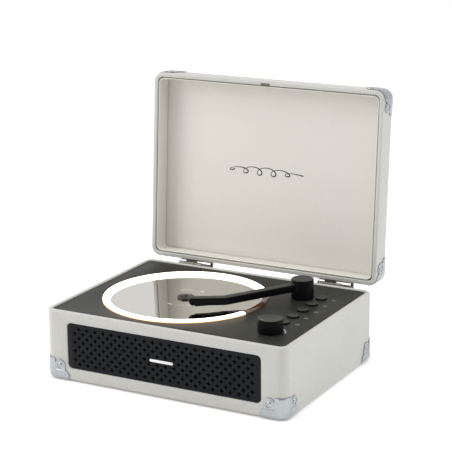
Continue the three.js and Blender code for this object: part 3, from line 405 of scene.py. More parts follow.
class Paint:
    """Makes each finish's material once, and dresses pieces with it."""

    def __init__(self, groups: GrainGroups) -> None:
        """Keeps the shared groups.

        Args:
            groups: The shader node groups that every material places.
        """
        self.groups = groups
        self.made: dict[str, bpy.types.Material] = {}

    def material(self, finish: Finish) -> bpy.types.Material:
        """Gives a finish's material.

        Args:
            finish: The finish to look up or build.

        Returns:
            The material.
        """
        if finish.name not in self.made:
            self.made[finish.name] = self.build(finish)
        return self.made[finish.name]

    def build(self, finish: Finish) -> bpy.types.Material:
        """Wires a finish: object coordinates, its grain, edge wear and one Principled shader.

        Args:
            finish: The finish.

        Returns:
            The material.
        """
        material = bpy.data.materials.new(finish.name)
        material.use_nodes = True
        wiring = Wiring(material.node_tree)
        place = wiring.node("TexCoord").outputs["Object"]
        grain = wiring.node("Group", node_tree=self.groups.groups[finish.grain])
        for socket, value in (("Vector", place), ("Scale", finish.scale), ("Colour", (*finish.colour, 1.0)),
                              ("Second Colour", (*finish.second, 1.0)), ("Roughness", finish.roughness),
                              ("Spread", finish.spread)):
            if isinstance(value, bpy.types.NodeSocket):
                wiring.tree.links.new(value, grain.inputs[socket])
            else:
                grain.inputs[socket].default_value = value
        colour, rough = grain.outputs["Colour"], grain.outputs["Roughness"]
        if finish.wear:
            worn = wiring.node("Group", node_tree=self.groups.wear)
            wiring.tree.links.new(place, worn.inputs["Vector"])
            wiring.tree.links.new(colour, worn.inputs["Colour"])
            wiring.tree.links.new(rough, worn.inputs["Roughness"])
            worn.inputs["Amount"].default_value = finish.wear
            colour, rough = worn.outputs["Colour"], worn.outputs["Roughness"]
        shader = wiring.node("BsdfPrincipled", {
            "Base Color": colour, "Roughness": rough, "Metallic": finish.metallic,
            "Coat Weight": finish.coat, "Specular IOR Level": finish.specular})
        if finish.depth:
            bump = wiring.node("Bump", {"Height": grain.outputs["Height"], "Distance": finish.depth})
            wiring.tree.links.new(bump.outputs[0], shader.inputs["Normal"])
        if finish.emission:
            self.glow(wiring, shader, finish)
        end = wiring.node("OutputMaterial")
        wiring.tree.links.new(shader.outputs[0], end.inputs["Surface"])
        return material

    @staticmethod
    def glow(wiring: Wiring, shader: bpy.types.Node, finish: Finish) -> None:
        """Makes a lit diffuser: white-hot on top and inside, amber down its outer wall.

        Args:
            wiring: The wiring to add nodes to.
            shader: The Principled node.
            finish: The finish.
        """
        facing = wiring.node("SeparateXYZ", {0: wiring.node("NewGeometry").outputs["Normal"]}).outputs[2]
        low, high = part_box("light_ring")
        arm = wiring.node("VectorMath", {
            0: wiring.node("TexCoord").outputs["Object"], 1: (low + high) / 2}, operation="SUBTRACT")
        spoke = wiring.node("VectorMath", {0: arm.outputs[0]}, operation="NORMALIZE")
        outward = wiring.node("VectorMath", {
            0: wiring.node("NewGeometry").outputs["Normal"], 1: spoke.outputs[0]}, operation="DOT_PRODUCT")
        inward = wiring.maths("MULTIPLY", outward.outputs["Value"], -1.0)
        lit = wiring.maths("MAXIMUM", facing, inward)
        up = wiring.node("MapRange", {0: lit, 1: GLOW_FROM, 2: GLOW_TO}).outputs[0]
        hot = wiring.mix(up, (*finish.second, 1.0), (*finish.colour, 1.0))
        wiring.tree.links.new(hot, shader.inputs["Emission Color"])
        wiring.tree.links.new(hot, shader.inputs["Base Color"])
        shader.inputs["Emission Strength"].default_value = finish.emission

    def dress(self, piece: Piece, finish: Finish) -> None:
        """Gives a piece or a CAD node one finish all over."""
        piece.data.materials.clear()
        piece.data.materials.append(self.material(finish))


# ---- Modelling by hand -------------------------------------------------------
def pick(piece: Piece) -> None:
    """Makes a piece the only selected and active object.

    Args:
        piece: The piece to work on.
    """
    bpy.ops.object.select_all(action="DESELECT")
    piece.select_set(True)
    bpy.context.view_layer.objects.active = piece


def open_edit(piece: Piece, kind: str) -> None:
    """Goes into edit mode on a piece, with nothing selected.

    Args:
        piece: The piece to edit.
        kind: EDGE or FACE, what is going to be selected.
    """
    pick(piece)
    bpy.ops.object.mode_set(mode="EDIT")
    bpy.ops.mesh.select_mode(type=kind)
    bpy.ops.mesh.select_all(action="DESELECT")


def close_edit() -> None:
    """Goes back to object mode."""
    bpy.ops.object.mode_set(mode="OBJECT")


def select_edges(piece: Piece, test: EdgeTest) -> None:
    """Opens a piece in edit mode with the edges selected whose two ends pass the test.

    Args:
        piece: The piece to work on.
        test: Says yes for what is wanted.
    """
    open_edit(piece, "EDGE")
    close_edit()
    points = piece.data.vertices
    for edge in piece.data.edges:
        first, second = edge.vertices
        edge.select = test(points[first].co, points[second].co)
    bpy.ops.object.mode_set(mode="EDIT")


def select_faces(piece: Piece, test: FaceTest) -> None:
    """Opens a piece in edit mode with the faces selected whose centre and normal pass the test.

    Args:
        piece: The piece to work on.
        test: Says yes for what is wanted.
    """
    open_edit(piece, "FACE")
    close_edit()
    for face in piece.data.polygons:
        face.select = test(face.center, face.normal)
    bpy.ops.object.mode_set(mode="EDIT")


def fix(piece: Piece) -> Piece:
    """Puts a piece's place, turn and scale into its mesh.

    Args:
        piece: The piece to work on.

    Returns:
        The piece.
    """
    pick(piece)
    bpy.ops.object.transform_apply(location=True, rotation=True, scale=True)
    return piece


def named(name: str) -> Piece:
    """Names the primitive just added, fixes its place and gives it back.

    Args:
        name: The new piece's name.

    Returns:
        The piece.
    """
    piece = bpy.context.active_object
    piece.name = name
    piece.data.name = name
    return fix(piece)


def block(name: str, low: Sequence[float], high: Sequence[float]) -> Piece:
    """Adds a box between two corners.

    Args:
        name: The new piece's name.
        low: Its lowest corner.
        high: Its highest corner.

    Returns:
        The new piece.
    """
    middle = [(a + b) / 2 for a, b in zip(low, high)]
    bpy.ops.mesh.primitive_cube_add(size=1, location=middle, scale=[b - a for a, b in zip(low, high)])
    return named(name)


def bevel_edges(piece: Piece, test: EdgeTest, width: float, segments: int) -> Piece:
    """Rounds the edges that pass the test.

    Args:
        piece: The piece to work on.
        test: Says yes for what is wanted.
        width: How wide the rounding is.
        segments: The faces across the rounding.

    Returns:
        The piece.
    """
    select_edges(piece, test)
    bpy.ops.mesh.bevel(offset=width, segments=segments, affect="EDGES", clamp_overlap=True)
    close_edit()
    return piece


def parallel_to(axis: int) -> EdgeTest:
    """Gives the test for edges that run along one axis."""
    others = [i for i in range(3) if i != axis]
    return lambda a, b: all(abs(a[i] - b[i]) < 1e-7 for i in others)


def rounded_block(name: str, low: Sequence[float], high: Sequence[float], radius: float,
                  axis: int = 2, segments: int = 10) -> Piece:
    """Adds a box whose four edges along one axis are rounded.

    Args:
        name: The piece's name.
        low: Its lowest corner.
        high: Its highest corner.
        radius: The radius of the four rounded edges.
        axis: The axis that they run along, 0 to 2.
        segments: The faces around each rounded edge.

    Returns:
        The new piece.
    """
    return bevel_edges(block(name, low, high), parallel_to(axis), radius, segments)


def modified(piece: Piece, kind: str, **settings: object) -> Piece:
    """Adds a modifier to a piece and applies it.

    Args:
        piece: The piece to work on.
        kind: The modifier's type.
        settings: The modifier's settings.

    Returns:
        The piece.
    """
    pick(piece)
    modifier = piece.modifiers.new(kind.lower(), kind)
    for name, value in settings.items():
        setattr(modifier, name, value)
    bpy.ops.object.modifier_apply(modifier=modifier.name)
    return piece


def combined(piece: Piece, tool: Piece, operation: str = "DIFFERENCE") -> Piece:
    """Cuts, joins or intersects a piece with a tool, which is then thrown away.

    Args:
        piece: The piece to work on.
        tool: The piece that cuts or joins.
        operation: DIFFERENCE, UNION or INTERSECT.

    Returns:
        The piece.
    """
    modified(piece, "BOOLEAN", object=tool, operation=operation, solver="EXACT")
    bpy.data.objects.remove(tool, do_unlink=True)
    return piece


def rounded(piece: Piece, width: float, segments: int = 3, degrees: float = 40) -> Piece:
    """Rounds every edge sharper than an angle."""
    return modified(piece, "BEVEL", width=width, segments=segments, limit_method="ANGLE",
                    angle_limit=math.radians(degrees))


def joined(pieces: Sequence[Piece]) -> Piece:
    """Joins pieces into the first of them.

    Args:
        pieces: The pieces to join.

    Returns:
        The first piece.
    """
    pick(pieces[0])
    for piece in pieces:
        piece.select_set(True)
    bpy.ops.object.join()
    return pieces[0]


def copied(piece: Piece, name: str, matrix: Matrix) -> Piece:
    """Copies a piece with a mesh of its own, moved by a matrix that may mirror it.

    Args:
        piece: The piece to work on.
        name: The new piece's name.
        matrix: Where it goes.

    Returns:
        The copy.
    """
    twin = piece.copy()
    twin.data = piece.data.copy()
    twin.name = name
    twin.data.name = name
    bpy.context.scene.collection.objects.link(twin)
    return moved(twin, matrix)


def moved(piece: Piece, matrix: Matrix) -> Piece:
    """Moves a piece by a matrix, into its mesh, and turns its faces out again if it mirrors.

    Args:
        piece: The piece to work on.
        matrix: Where it goes.

    Returns:
        The piece.
    """
    piece.data.transform(matrix)
    if matrix.determinant() < 0:
        piece.data.flip_normals()
    piece.data.update()
    return piece


def turned(name: str, centre: Sequence[float], profile: Sequence[tuple[float, float]],
           steps: int = 96, through: bool = False) -> Piece:
    """Turns a profile about the upright axis: a cone frustum, then ring after ring from its top.

    Args:
        name: The piece's name.
        centre: Where the axis stands, x and y first.
        profile: Radius and height of each ring, from the outside bottom upwards and then inwards.
        steps: The faces around.
        through: Whether the last ring is joined to the first one, which leaves a bore.

    Returns:
        The new piece.
    """
    (first_radius, base), (radius, top), *rest = profile
    bpy.ops.mesh.primitive_cone_add(
        vertices=steps, radius1=first_radius, radius2=radius, depth=top - base, end_fill_type="NGON",
        location=(centre[0], centre[1], (base + top) / 2))
    piece = named(name)
    select_faces(piece, lambda middle, normal: normal.z > 0.9 and abs(middle.z - top) < NEAR)
    for next_radius, height in rest:
        bpy.ops.mesh.extrude_region()
        bpy.ops.transform.translate(value=(0, 0, height - top))
        share = max(next_radius, 1e-6) / radius
        bpy.ops.transform.resize(value=(share, share, 1), center_override=(centre[0], centre[1], height))
        radius, top = max(next_radius, 1e-6), height
    if through:
        bpy.ops.mesh.delete(type="FACE")
        close_edit()
        select_faces(piece, lambda middle, normal: normal.z < -0.9 and abs(middle.z - base) < NEAR
                     and (middle.xy - Vector(centre[:2])).length < 1e-5)
        bpy.ops.mesh.delete(type="FACE")
        bpy.ops.mesh.select_mode(type="EDGE")
        bpy.ops.mesh.select_non_manifold()
        bpy.ops.mesh.bridge_edge_loops()
    close_edit()
    return piece


def rod(name: str, centre: Sequence[float], radius: float, length: float, axis: int = 2,
        steps: int = 48) -> Piece:
    """Adds a cylinder along one axis, for a cut or a plain start.

    Args:
        name: The new piece's name.
        centre: Its middle.
        radius: Its radius.
        length: Its length.
        axis: The axis that it lies along, 0 to 2.
        steps: The faces around.

    Returns:
        The new piece.
    """
    turn = {0: (0, math.pi / 2, 0), 1: (math.pi / 2, 0, 0), 2: (0, 0, 0)}[axis]
    bpy.ops.mesh.primitive_cylinder_add(vertices=steps, radius=radius, depth=length, location=centre,
                                        rotation=turn)
    return named(name)


class Bench:
    """Finishes pieces: smooths, dresses and hands them to the frame."""

    def __init__(self, paint: Paint) -> None:
        """Keeps the paint and starts the count.

        Args:
            paint: What dresses each piece.
        """
        self.paint = paint
        self.count = 0

    def hand_over(self, piece: Piece, body: Body | str, finish: Finish, *nodes: str,
                  angle: float = 35, shaded_sides: Finish | None = None) -> Piece:
        """Finishes a piece and fixes it to its body.

        Args:
            piece: The finished mesh, in the row frame.
            body: The body that it rides on.
            finish: Its finish.
            nodes: The CAD nodes that it stands for.
            angle: Edges under this many degrees are shaded smooth.
            shaded_sides: The finish of the faces that don't face up, where it differs.

        Returns:
            The piece.
        """
        pick(piece)
        bpy.ops.object.shade_smooth_by_angle(angle=math.radians(angle))
        self.paint.dress(piece, finish)
        # The side faces get the darker copy, painted shade against the lighter painted-light tops.
        if shaded_sides:
            piece.data.materials.append(self.paint.material(shaded_sides))
            for face in piece.data.polygons:
                face.material_index = int(face.normal.z < TOP_FACING)
        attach(piece, body.value if isinstance(body, Body) else body)
        if nodes:
            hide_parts(*nodes)
        self.count += 1
        LOG.info("%s: %d faces, rides on %s", piece.name, len(piece.data.polygons), body)
        return piece

    def dress_node(self, node: str, finish: Finish) -> None:
        """Gives a carried-over CAD node its finish."""
        self.paint.dress(frame["nodes"][node], finish)
        LOG.info("%s: CAD node in %s", node, finish.name)


# ---- Case --------------------------------------------------------------------
@dataclass
class Case:
    """The covered case body with its base panel, feet and rear sockets."""

    wall: float = 6 * MM
    corner: float = 13 * MM
    rim_roll: float = 2.2 * MM
    edge_roll: float = 1.3 * MM
    ledge: float = 5 * MM
    ledge_height: float = 6 * MM
    spare: float = 5 * MM
    screw_radius: float = 3.4 * MM
    plug: float = 2.5 * MM
    low: Vector = field(default_factory=lambda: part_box("case_shell")[0])
    high: Vector = field(default_factory=lambda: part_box("case_shell")[1])

    def inside(self, name: str, base: float, top: float, inset: float) -> Piece:
        """Adds the block that hollows the case between two heights.

        Args:
            name: The new piece's name.
            base: Its lowest height.
            top: Its highest height.
            inset: How far it stays inside the outer faces.

        Returns:
            The new piece.
        """
        low = (self.low.x + inset, self.low.y + inset, base)
        high = (self.high.x - inset, self.high.y - inset, top)
        return rounded_block(name, low, high, self.corner - self.wall)

    def shell(self) -> Piece:
        """Builds the case walls: hollow, with the deck's ledge, the grille opening and the rear opening.

        Returns:
            The new piece.
        """
        shell = rounded_block("case_body", self.low, self.high, self.corner, segments=14)
        for level in (self.low.z, self.high.z):
            bevel_edges(shell, lambda a, b: abs(a.z - level) < NEAR and abs(b.z - level) < NEAR,
                        self.rim_roll, 4)
        ledge_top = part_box("deck_plate")[0].z - GAP
        ledge_base = ledge_top - self.ledge_height
        combined(shell, self.inside("above", ledge_top, self.high.z + self.spare, self.wall))
        combined(shell, self.inside("below", self.low.z - self.spare, ledge_base, self.wall))
        combined(shell, self.inside("bore", ledge_base - self.spare, ledge_top + self.spare,
                                    self.wall + self.ledge))
        combined(shell, self.grille_opening())
        combined(shell, self.rear_opening())
        return rounded(shell, self.edge_roll, 3, 55)

    def grille_opening(self) -> Piece:
        """Adds the block that cuts the grille's opening, a gap larger than its raised face.

        Returns:
            The new piece.
        """
        grille = Grille()
        low, high = grille.face(GAP)
        return rounded_block("cut", (low.x, self.low.y - self.spare, low.z),
                             (high.x, self.low.y + self.wall + self.spare, high.z),
                             grille.corner + GAP, axis=1)

    def rear_opening(self) -> Piece:
        """Adds the block that cuts the socket panel's opening in the rear wall.

        Returns:
            The new piece.
        """
        low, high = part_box("rear_socket_panel")
        lip_x, lip_z = 5 * MM - GAP, 4 * MM - GAP
        return block("cut", (low.x + lip_x, self.high.y - self.wall - self.spare, low.z + lip_z),
                     (high.x - lip_x, self.high.y + self.spare, high.z - lip_z))

    def foot(self, node: str) -> Piece:
        """Builds one rubber foot with a soft edge, and its plug.

        Args:
            node: The CAD node to match.

        Returns:
            The new piece.
        """
        low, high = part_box(node)
        centre = (low + high) / 2
        radius = (high.x - low.x) / 2
        pad_top = self.low.z - GAP
        foot = turned(node + "_rubber", centre, [
            (radius * 0.9, low.z), (radius, low.z + 0.7 * MM), (radius, pad_top), (self.plug, pad_top),
            (self.plug, high.z)], 48)
        return rounded(foot, 0.25 * MM, 2)

    def screw(self, name: str, x: float, y: float) -> Piece:
        """Builds one cross-headed screw head in the base panel.

        Args:
            name: The new piece's name.
            x: Where it lies along X.
            y: Where it lies along Y.

        Returns:
            The new piece.
        """
        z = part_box("bottom_panel")[0].z
        head = turned(name, (x, y), [
            (self.screw_radius * 0.72, z - 1.1 * MM), (self.screw_radius, z - 0.3 * MM),
            (self.screw_radius, z - 0.05 * MM)], 32)
        half, arm = 0.45 * MM, 1.9 * MM
        for dx, dy in ((half, arm), (arm, half)):
            combined(head, block("cut", (x - dx, y - dy, z - 2 * MM), (x + dx, y + dy, z - 0.6 * MM)))
        return head

    def build(self, bench: Bench) -> None:
        """Builds the case and hands its pieces over.

        Args:
            bench: What takes the finished pieces.
        """
        bench.hand_over(self.shell(), Body.ROOT, LEATHERETTE, "case_shell")
        for node in sorted(n for n in frame["nodes"] if n.startswith("foot_")):
            bench.hand_over(self.foot(node), Body.ROOT, RUBBER, node)
        low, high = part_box("bottom_panel")
        inset = 9 * MM
        middle = (low.y + high.y) / 2
        xs = (low.x + inset, 0.0, high.x - inset)
        ys = (low.y + inset, middle, high.y - inset)
        places = [(x, y) for x in xs for y in ys if (x, y) != (0.0, middle)]
        for number, (x, y) in enumerate(places):
            bench.hand_over(self.screw(f"base_screw_{number}", x, y), Body.ROOT, NICKEL)


# ---- Corner caps -------------------------------------------------------------
@dataclass
class CornerCaps:
    """Eight pressed chrome caps: three rounded leaves around a corner, each with a domed rivet."""

    sheet: float = 0.9 * MM
    case: Case = field(default_factory=Case)
    foot_roll: float = 3.2 * MM
    column: float = 14.5 * MM
    height: float = 27 * MM
    leaf: float = 29.5 * MM
    leaf_radius: float = 7.4 * MM
    rivet_out: float = 22.2 * MM
    rivet_up: float = 18.6 * MM
    rivet_radius: float = 3.1 * MM
    flare: float = 35 * MM
    band: float = 11 * MM

    def half(self) -> Vector:
        """Gives half the case's width and depth."""
        return (self.case.high - self.case.low) / 2

    def skin(self, name: str, grow: float, top: float) -> Piece:
        """Adds the corner quarter of the case grown outwards, with its foot edges rounded.

        Args:
            name: The new piece's name.
            grow: How far it is grown outwards.
            top: Its highest height.

        Returns:
            The new piece.
        """
        half = self.half()
        out_x, out_y = half.x + grow, -half.y - grow
        skin = block(name, (0, out_y, -grow), (out_x, 0, top))
        bevel_edges(skin, lambda a, b: all(abs(p.x - out_x) + abs(p.y - out_y) < NEAR for p in (a, b)),
                    self.case.corner + grow, 12)
        curve = self.case.corner + grow + 10 * NEAR

        def on_foot(p: Vector) -> bool:
            """Says whether a point lies on the outer foot edge."""
            rounded_part = p.x > out_x - curve and p.y < out_y + curve
            return abs(p.z + grow) < NEAR and (p.x > out_x - NEAR or p.y < out_y + NEAR or rounded_part)

        return bevel_edges(skin, lambda a, b: on_foot(a) and on_foot(b), self.foot_roll + grow, 5)

    def outline(self) -> list[Piece]:
        """Adds the prisms whose sum is the outline of the leaf on the front wall.

        Returns:
            The prisms, the column first.
        """
        half = self.half()
        x, y = half.x, -half.y
        y0, y1 = y - 3 * MM, y + self.column
        rise = self.rivet_up
        column = block("column", (x - self.column, y0, -3.3 * MM), (x + 3 * MM, y1, self.height))
        rounded(column, 2.4 * MM, 4)
        leaf = block("leaf", (x - self.leaf, y0, -3 * MM), (x - self.column / 2, y1 - 1 * MM, rise))
        lobe = rod("lobe", (x - self.rivet_out, (y0 + y1) / 2, rise), self.leaf_radius, y1 - y0 - 1 * MM, 1)
        flare = block("flare", (x - self.flare, y0 + 0.7 * MM, -2.7 * MM),
                      (x - self.leaf + 1 * MM, y1 - 2 * MM, self.band))
        edge = (x - self.flare, self.band)
        bevel_edges(flare, lambda a, b: all(abs(p.x - edge[0]) + abs(p.z - edge[1]) < NEAR for p in (a, b)),
                    self.flare - self.leaf, 4)
        return [column, leaf, lobe, flare]

    def swap(self) -> Matrix:
        """Gives the reflection that carries the front wall's leaf onto the side wall.

        Returns:
            The reflection.
        """
        half = self.half()
        shift = half.x - half.y
        return Matrix(((0, -1, 0, shift), (-1, 0, 0, shift), (0, 0, 1, 0), (0, 0, 0, 1)))

    def master(self) -> Piece:
        """Builds the cap of the front right corner, its outer face at height zero.

        Returns:
            The new piece.
        """
        top = self.height + 10 * MM
        cap = self.skin("cap", GAP + self.sheet, top)
        combined(cap, self.skin("core", GAP, top + 1 * MM))
        front = self.outline()
        side = [copied(piece, piece.name, self.swap()) for piece in front[1:]]
        half = self.half()
        x, y = half.x, -half.y
        reach = self.leaf
        sole = rounded_block("sole", (x - reach, y - 2.6 * MM, -3.6 * MM),
                             (x + 2.6 * MM, y + reach, 6 * MM), 8 * MM, segments=8)
        outline = front[0]
        for piece in [*front[1:], *side, sole]:
            combined(outline, piece, "UNION")
        combined(cap, outline, "INTERSECT")
        rounded(cap, 0.22 * MM, 2, 50)
        marks = self.marks()
        return joined([cap, *marks, *(copied(mark, mark.name, self.swap()) for mark in marks)])

    def marks(self) -> list[Piece]:
        """Builds the domed rivet, the raised ring around it and the pressed line under it.

        Returns:
            The raised pieces.
        """
        half = self.half()
        x, y = half.x - self.rivet_out, -half.y - GAP - self.sheet
        dome = turned("rivet", (0, 0), [
            (self.rivet_radius, -0.4 * MM), (self.rivet_radius, 0.25 * MM),
            (self.rivet_radius * 0.86, 0.75 * MM), (self.rivet_radius * 0.6, 1.1 * MM),
            (self.rivet_radius * 0.3, 1.25 * MM)], 32)
        ring = turned("ring", (0, 0), [
            (self.leaf_radius * 0.8, -0.4 * MM), (self.leaf_radius * 0.78, 0.3 * MM),
            (self.leaf_radius * 0.72, 0.45 * MM), (self.leaf_radius * 0.66, 0.3 * MM),
            (self.leaf_radius * 0.64, -0.4 * MM)], 40, through=True)
        stand = Matrix.Translation((x, y, self.rivet_up)) @ Matrix.Rotation(math.pi / 2, 4, "X")
        for piece in (dome, ring):
            moved(piece, stand)
        near = half.x - self.column - 0.5 * MM
        line = rod("line", ((near + half.x - self.leaf + 1 * MM) / 2, y + 0.1 * MM, self.band), 0.55 * MM,
                   self.leaf - self.column - 1.5 * MM, 0, 12)
        fold = rod("fold", (half.x - self.column, y + 0.15 * MM, self.height / 2 + 1 * MM), 0.5 * MM,
                   self.height - 8 * MM, 2, 12)
        return [dome, ring, line, fold]

    def build(self, bench: Bench, lid: "Lid") -> None:
        """Builds the cap once and fits a copy at each corner of the case and the lid.

        Args:
            bench: What takes the finished pieces.
            lid: The lid, which gives the turn of its caps.
        """
        master = self.master()
        centre_y = (self.case.low.y + self.case.high.y) / 2
        for row, sign_y in (("front", 1), ("rear", -1)):
            for hand, sign_x in (("right", 1), ("left", -1)):
                mirror = Matrix.Diagonal((sign_x, sign_y, 1, 1))
                place = Matrix.Translation((0, centre_y, self.case.low.z)) @ mirror
                low_cap = copied(master, f"case_cap_{row}_{hand}", place)
                bench.hand_over(low_cap, Body.ROOT, CHROME, f"case_corner_{row}_{hand}", angle=30)
                place = Matrix.Translation((0, centre_y, lid.top)) @ mirror @ Matrix.Diagonal((1, 1, -1, 1))
                high_cap = copied(master, f"lid_cap_{row}_{hand}", lid.opening() @ place)
                bench.hand_over(high_cap, Body.LID, CHROME, f"lid_corner_{row}_{hand}", angle=30)
        bpy.data.objects.remove(master, do_unlink=True)


# ---- Lid ---------------------------------------------------------------------
@dataclass
class Lid:
    """The covered lid with its lining, drawn closed over the case and then turned open."""

    case: Case = field(default_factory=Case)
    height: float = 31 * MM
    board: float = 3.5 * MM
    lining: float = 1.3 * MM
    lining_corner: float = 8 * MM
    lining_shadow: float = 0.8 * MM
    lip_drop: float = 1.2 * MM
    crease: float = 0.7 * MM
    top_roll: float = 2.6 * MM
    seam_from_corner: float = 34 * MM
    seams_at_catch: float = 9 * MM
    seam_width: float = 0.5 * MM
    seam_depth: float = 0.35 * MM
    catch: Vector = field(default_factory=lambda: Vector((12, 2.4, 3)) * MM)
    wave_reach: float = 54 * MM
    wave_shift: float = -12 * MM
    wave_swing: float = 5.6 * MM
    wave_stroke: float = 0.9 * MM
    wave_turns: float = 5.0
    wave_points: int = 240

    @property
    def base(self) -> float:
        """The height of the closed lid's rim."""
        return self.case.high.z + GAP

    @property
    def top(self) -> float:
        """The height of the closed lid's top face."""
        return self.base + self.height

    def opening(self) -> Matrix:
        """Gives the turn about the hinge from closed to the rest pose.

        Returns:
            The turn.
        """
        hinge = next(joint for joint in frame["joints"] if joint["name"] == "lid_hinge")
        pivot = Vector(hinge["pos_m"])
        angle = -math.radians(hinge["range_deg"][1])
        return Matrix.Translation(pivot) @ Matrix.Rotation(angle, 4, "X") @ Matrix.Translation(-pivot)

    def bounds(self, inset: float, base: float, top: float) -> tuple[tuple, tuple]:
        """Gives the corners of a block inside the closed lid."""
        low, high = self.case.low, self.case.high
        return (low.x + inset, low.y + inset, base), (high.x - inset, high.y - inset, top)

    def shell(self) -> Piece:
        """Builds the lid's walls and top, with the covering's seams and the catch's notch.

        Returns:
            The new piece.
        """
        shell = rounded_block("lid_body", *self.bounds(0, self.base, self.top), self.case.corner,
                              segments=14)
        bevel_edges(shell, lambda a, b: min(a.z, b.z) > self.top - NEAR, self.top_roll, 4)
        room = self.bounds(self.case.wall, self.base - 5 * MM, self.top - self.board)
        hollow = rounded_block("hollow", *room, self.case.corner - self.case.wall)
        combined(shell, hollow)
        inner = self.case.low.y + self.case.wall
        wide, deep, tall = self.catch
        combined(shell, block("notch", (-wide / 2 - GAP, inner - deep - GAP, self.base - GAP),
                              (wide / 2 + GAP, inner + GAP / 2, self.base + tall + GAP)))
        rounded(shell, self.case.edge_roll, 3, 55)
        for seam in self.seams():
            combined(shell, seam)
        return shell

    def seams(self) -> list[Piece]:
        """Adds the thin blocks that cut the covering's joints across the rim.

        Returns:
            The cutting blocks.
        """
        low, high = self.case.low, self.case.high
        step, wall = self.seam_from_corner, self.case.wall
        z0, z1 = self.base - 1 * MM, self.base + self.seam_depth
        half = self.seam_width / 2
        cuts = []
        for x_edge, inward in ((low.x, 1), (high.x, -1)):
            for y in (low.y + step, high.y - step):
                x0, x1 = sorted((x_edge - inward * 1 * MM, x_edge + inward * (wall + 1 * MM)))
                cuts.append(block("seam", (x0, y - half, z0), (x1, y + half, z1)))
        for x in (-self.seams_at_catch, self.seams_at_catch):
            cuts.append(block("seam", (x - half, low.y - 1 * MM, z0),
                              (x + half, low.y + wall + 1 * MM, z1)))
        return cuts

    def inner(self) -> Piece:
        """Builds the lining: a thin tray with a rolled lip, and a crease around its floor.

        Returns:
            The new piece.
        """
        inset = self.case.wall + GAP + self.lining_shadow
        top = self.top - self.board - GAP
        floor = top - self.lining
        lip = self.base + self.lip_drop
        lining = rounded_block("lid_inner", *self.bounds(inset, lip, top), self.lining_corner)
        bevel_edges(lining, lambda a, b: min(a.z, b.z) > top - NEAR, 1.0 * MM, 3)
        hollow = rounded_block("hollow", *self.bounds(inset + self.lining, self.base - 5 * MM, floor),
                               self.lining_corner - self.lining)
        combined(lining, hollow)
        edge = inset + 0.6 * self.lining
        groove = rounded_block("groove", *self.bounds(edge, floor - self.crease, floor + 0.6 * self.crease),
                               self.lining_corner - self.lining)
        combined(groove, rounded_block("core", *self.bounds(edge + self.lining, floor - 3 * MM, top),
                                       self.lining_corner - 2 * self.lining))
        combined(lining, groove)
        bevel_edges(lining, lambda a, b: max(a.z, b.z) < lip + NEAR, 0.5 * MM, 3)
        return lining

    def flourish(self) -> Piece:
        """Builds the printed ornament in the middle of the lining: one long drawn wave.

        Returns:
            The new piece.
        """
        top = self.top - self.board - GAP - self.lining
        centre_y = (self.case.low.y + self.case.high.y) / 2 - 2 * MM
        count, swing = self.wave_points, self.wave_swing
        bpy.ops.curve.primitive_nurbs_path_add()
        curve = bpy.context.active_object
        curve.data.splines.clear()
        spline = curve.data.splines.new("POLY")
        spline.points.add(count - 1)
        for i, point in enumerate(spline.points):
            t = i / (count - 1)
            fade = math.sin(math.pi * t) ** 0.7
            phase = 2 * math.pi * self.wave_turns * t
            x = self.wave_shift + (2 * t - 1) * self.wave_reach + 1.5 * swing * math.cos(phase)
            y = centre_y + swing * fade * math.sin(phase)
            point.co = (x, y, 0, 1)
            point.radius = 0.75 + 0.25 * math.sin(phase + 1)
        curve.data.bevel_depth = self.wave_stroke
        curve.data.bevel_resolution = 2
        curve.data.use_fill_caps = True
        bpy.ops.object.convert(target="MESH")
        wave = named("lid_flourish")
        return moved(wave, Matrix.Translation((0, 0, top)) @ Matrix.Diagonal((1, 1, 0.12, 1)))

    def build(self, bench: Bench) -> None:
        """Builds the lid and hands its pieces over.

        Args:
            bench: What takes the finished pieces.
        """
        for piece, finish, nodes in (
            (self.shell(), LEATHERETTE, ["lid_shell"]), (self.inner(), LINING, ["lid_lining"]),
            (self.flourish(), INK, []),
        ):
            bench.hand_over(moved(piece, self.opening()), Body.LID, finish, *nodes)


# ---- Hinge sleeves -----------------------------------------------------------
@dataclass
class HingeSleeves:
    """The ribbed sleeve on each hinge's pin, between its leaves and its stop arm."""

    radius: float = 2.3 * MM
    groove: float = 0.6 * MM
    ribs: int = 4

    def sleeve(self, side: str) -> Piece:
        """Builds one sleeve around the hinge's axis, its ribs parted by grooves.

        Args:
            side: Which hinge, left or right.

        Returns:
            The new piece.
        """
        pin_low, pin_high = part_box(f"hinge_pin_{side}")
        start = pin_high.x + 0.2 * MM
        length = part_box(f"hinge_lid_leaf_{side}")[1].x - start
        centre = (pin_low + pin_high) / 2
        pitch = length / self.ribs
        profile = []
        for rib in range(self.ribs):
            low = rib * pitch
            neck = self.radius - self.groove
            profile += [(self.radius, low + self.groove), (self.radius, low + pitch - self.groove),
                        (neck, low + pitch - self.groove / 2), (neck, low + pitch)]
        profile[-1] = (self.groove, length)
        profile = [(self.radius - self.groove / 2, 0.0)] + profile
        sleeve = turned(f"hinge_sleeve_{side}", (0, 0), profile, 24)
        place = Matrix.Translation((start, centre.y, centre.z)) @ Matrix.Rotation(math.pi / 2, 4, "Y")
        return moved(sleeve, place)

    def build(self, bench: Bench) -> None:
        """Builds both sleeves and hands them over."""
        for side in ("left", "right"):
            bench.hand_over(self.sleeve(side), Body.LID, NICKEL)


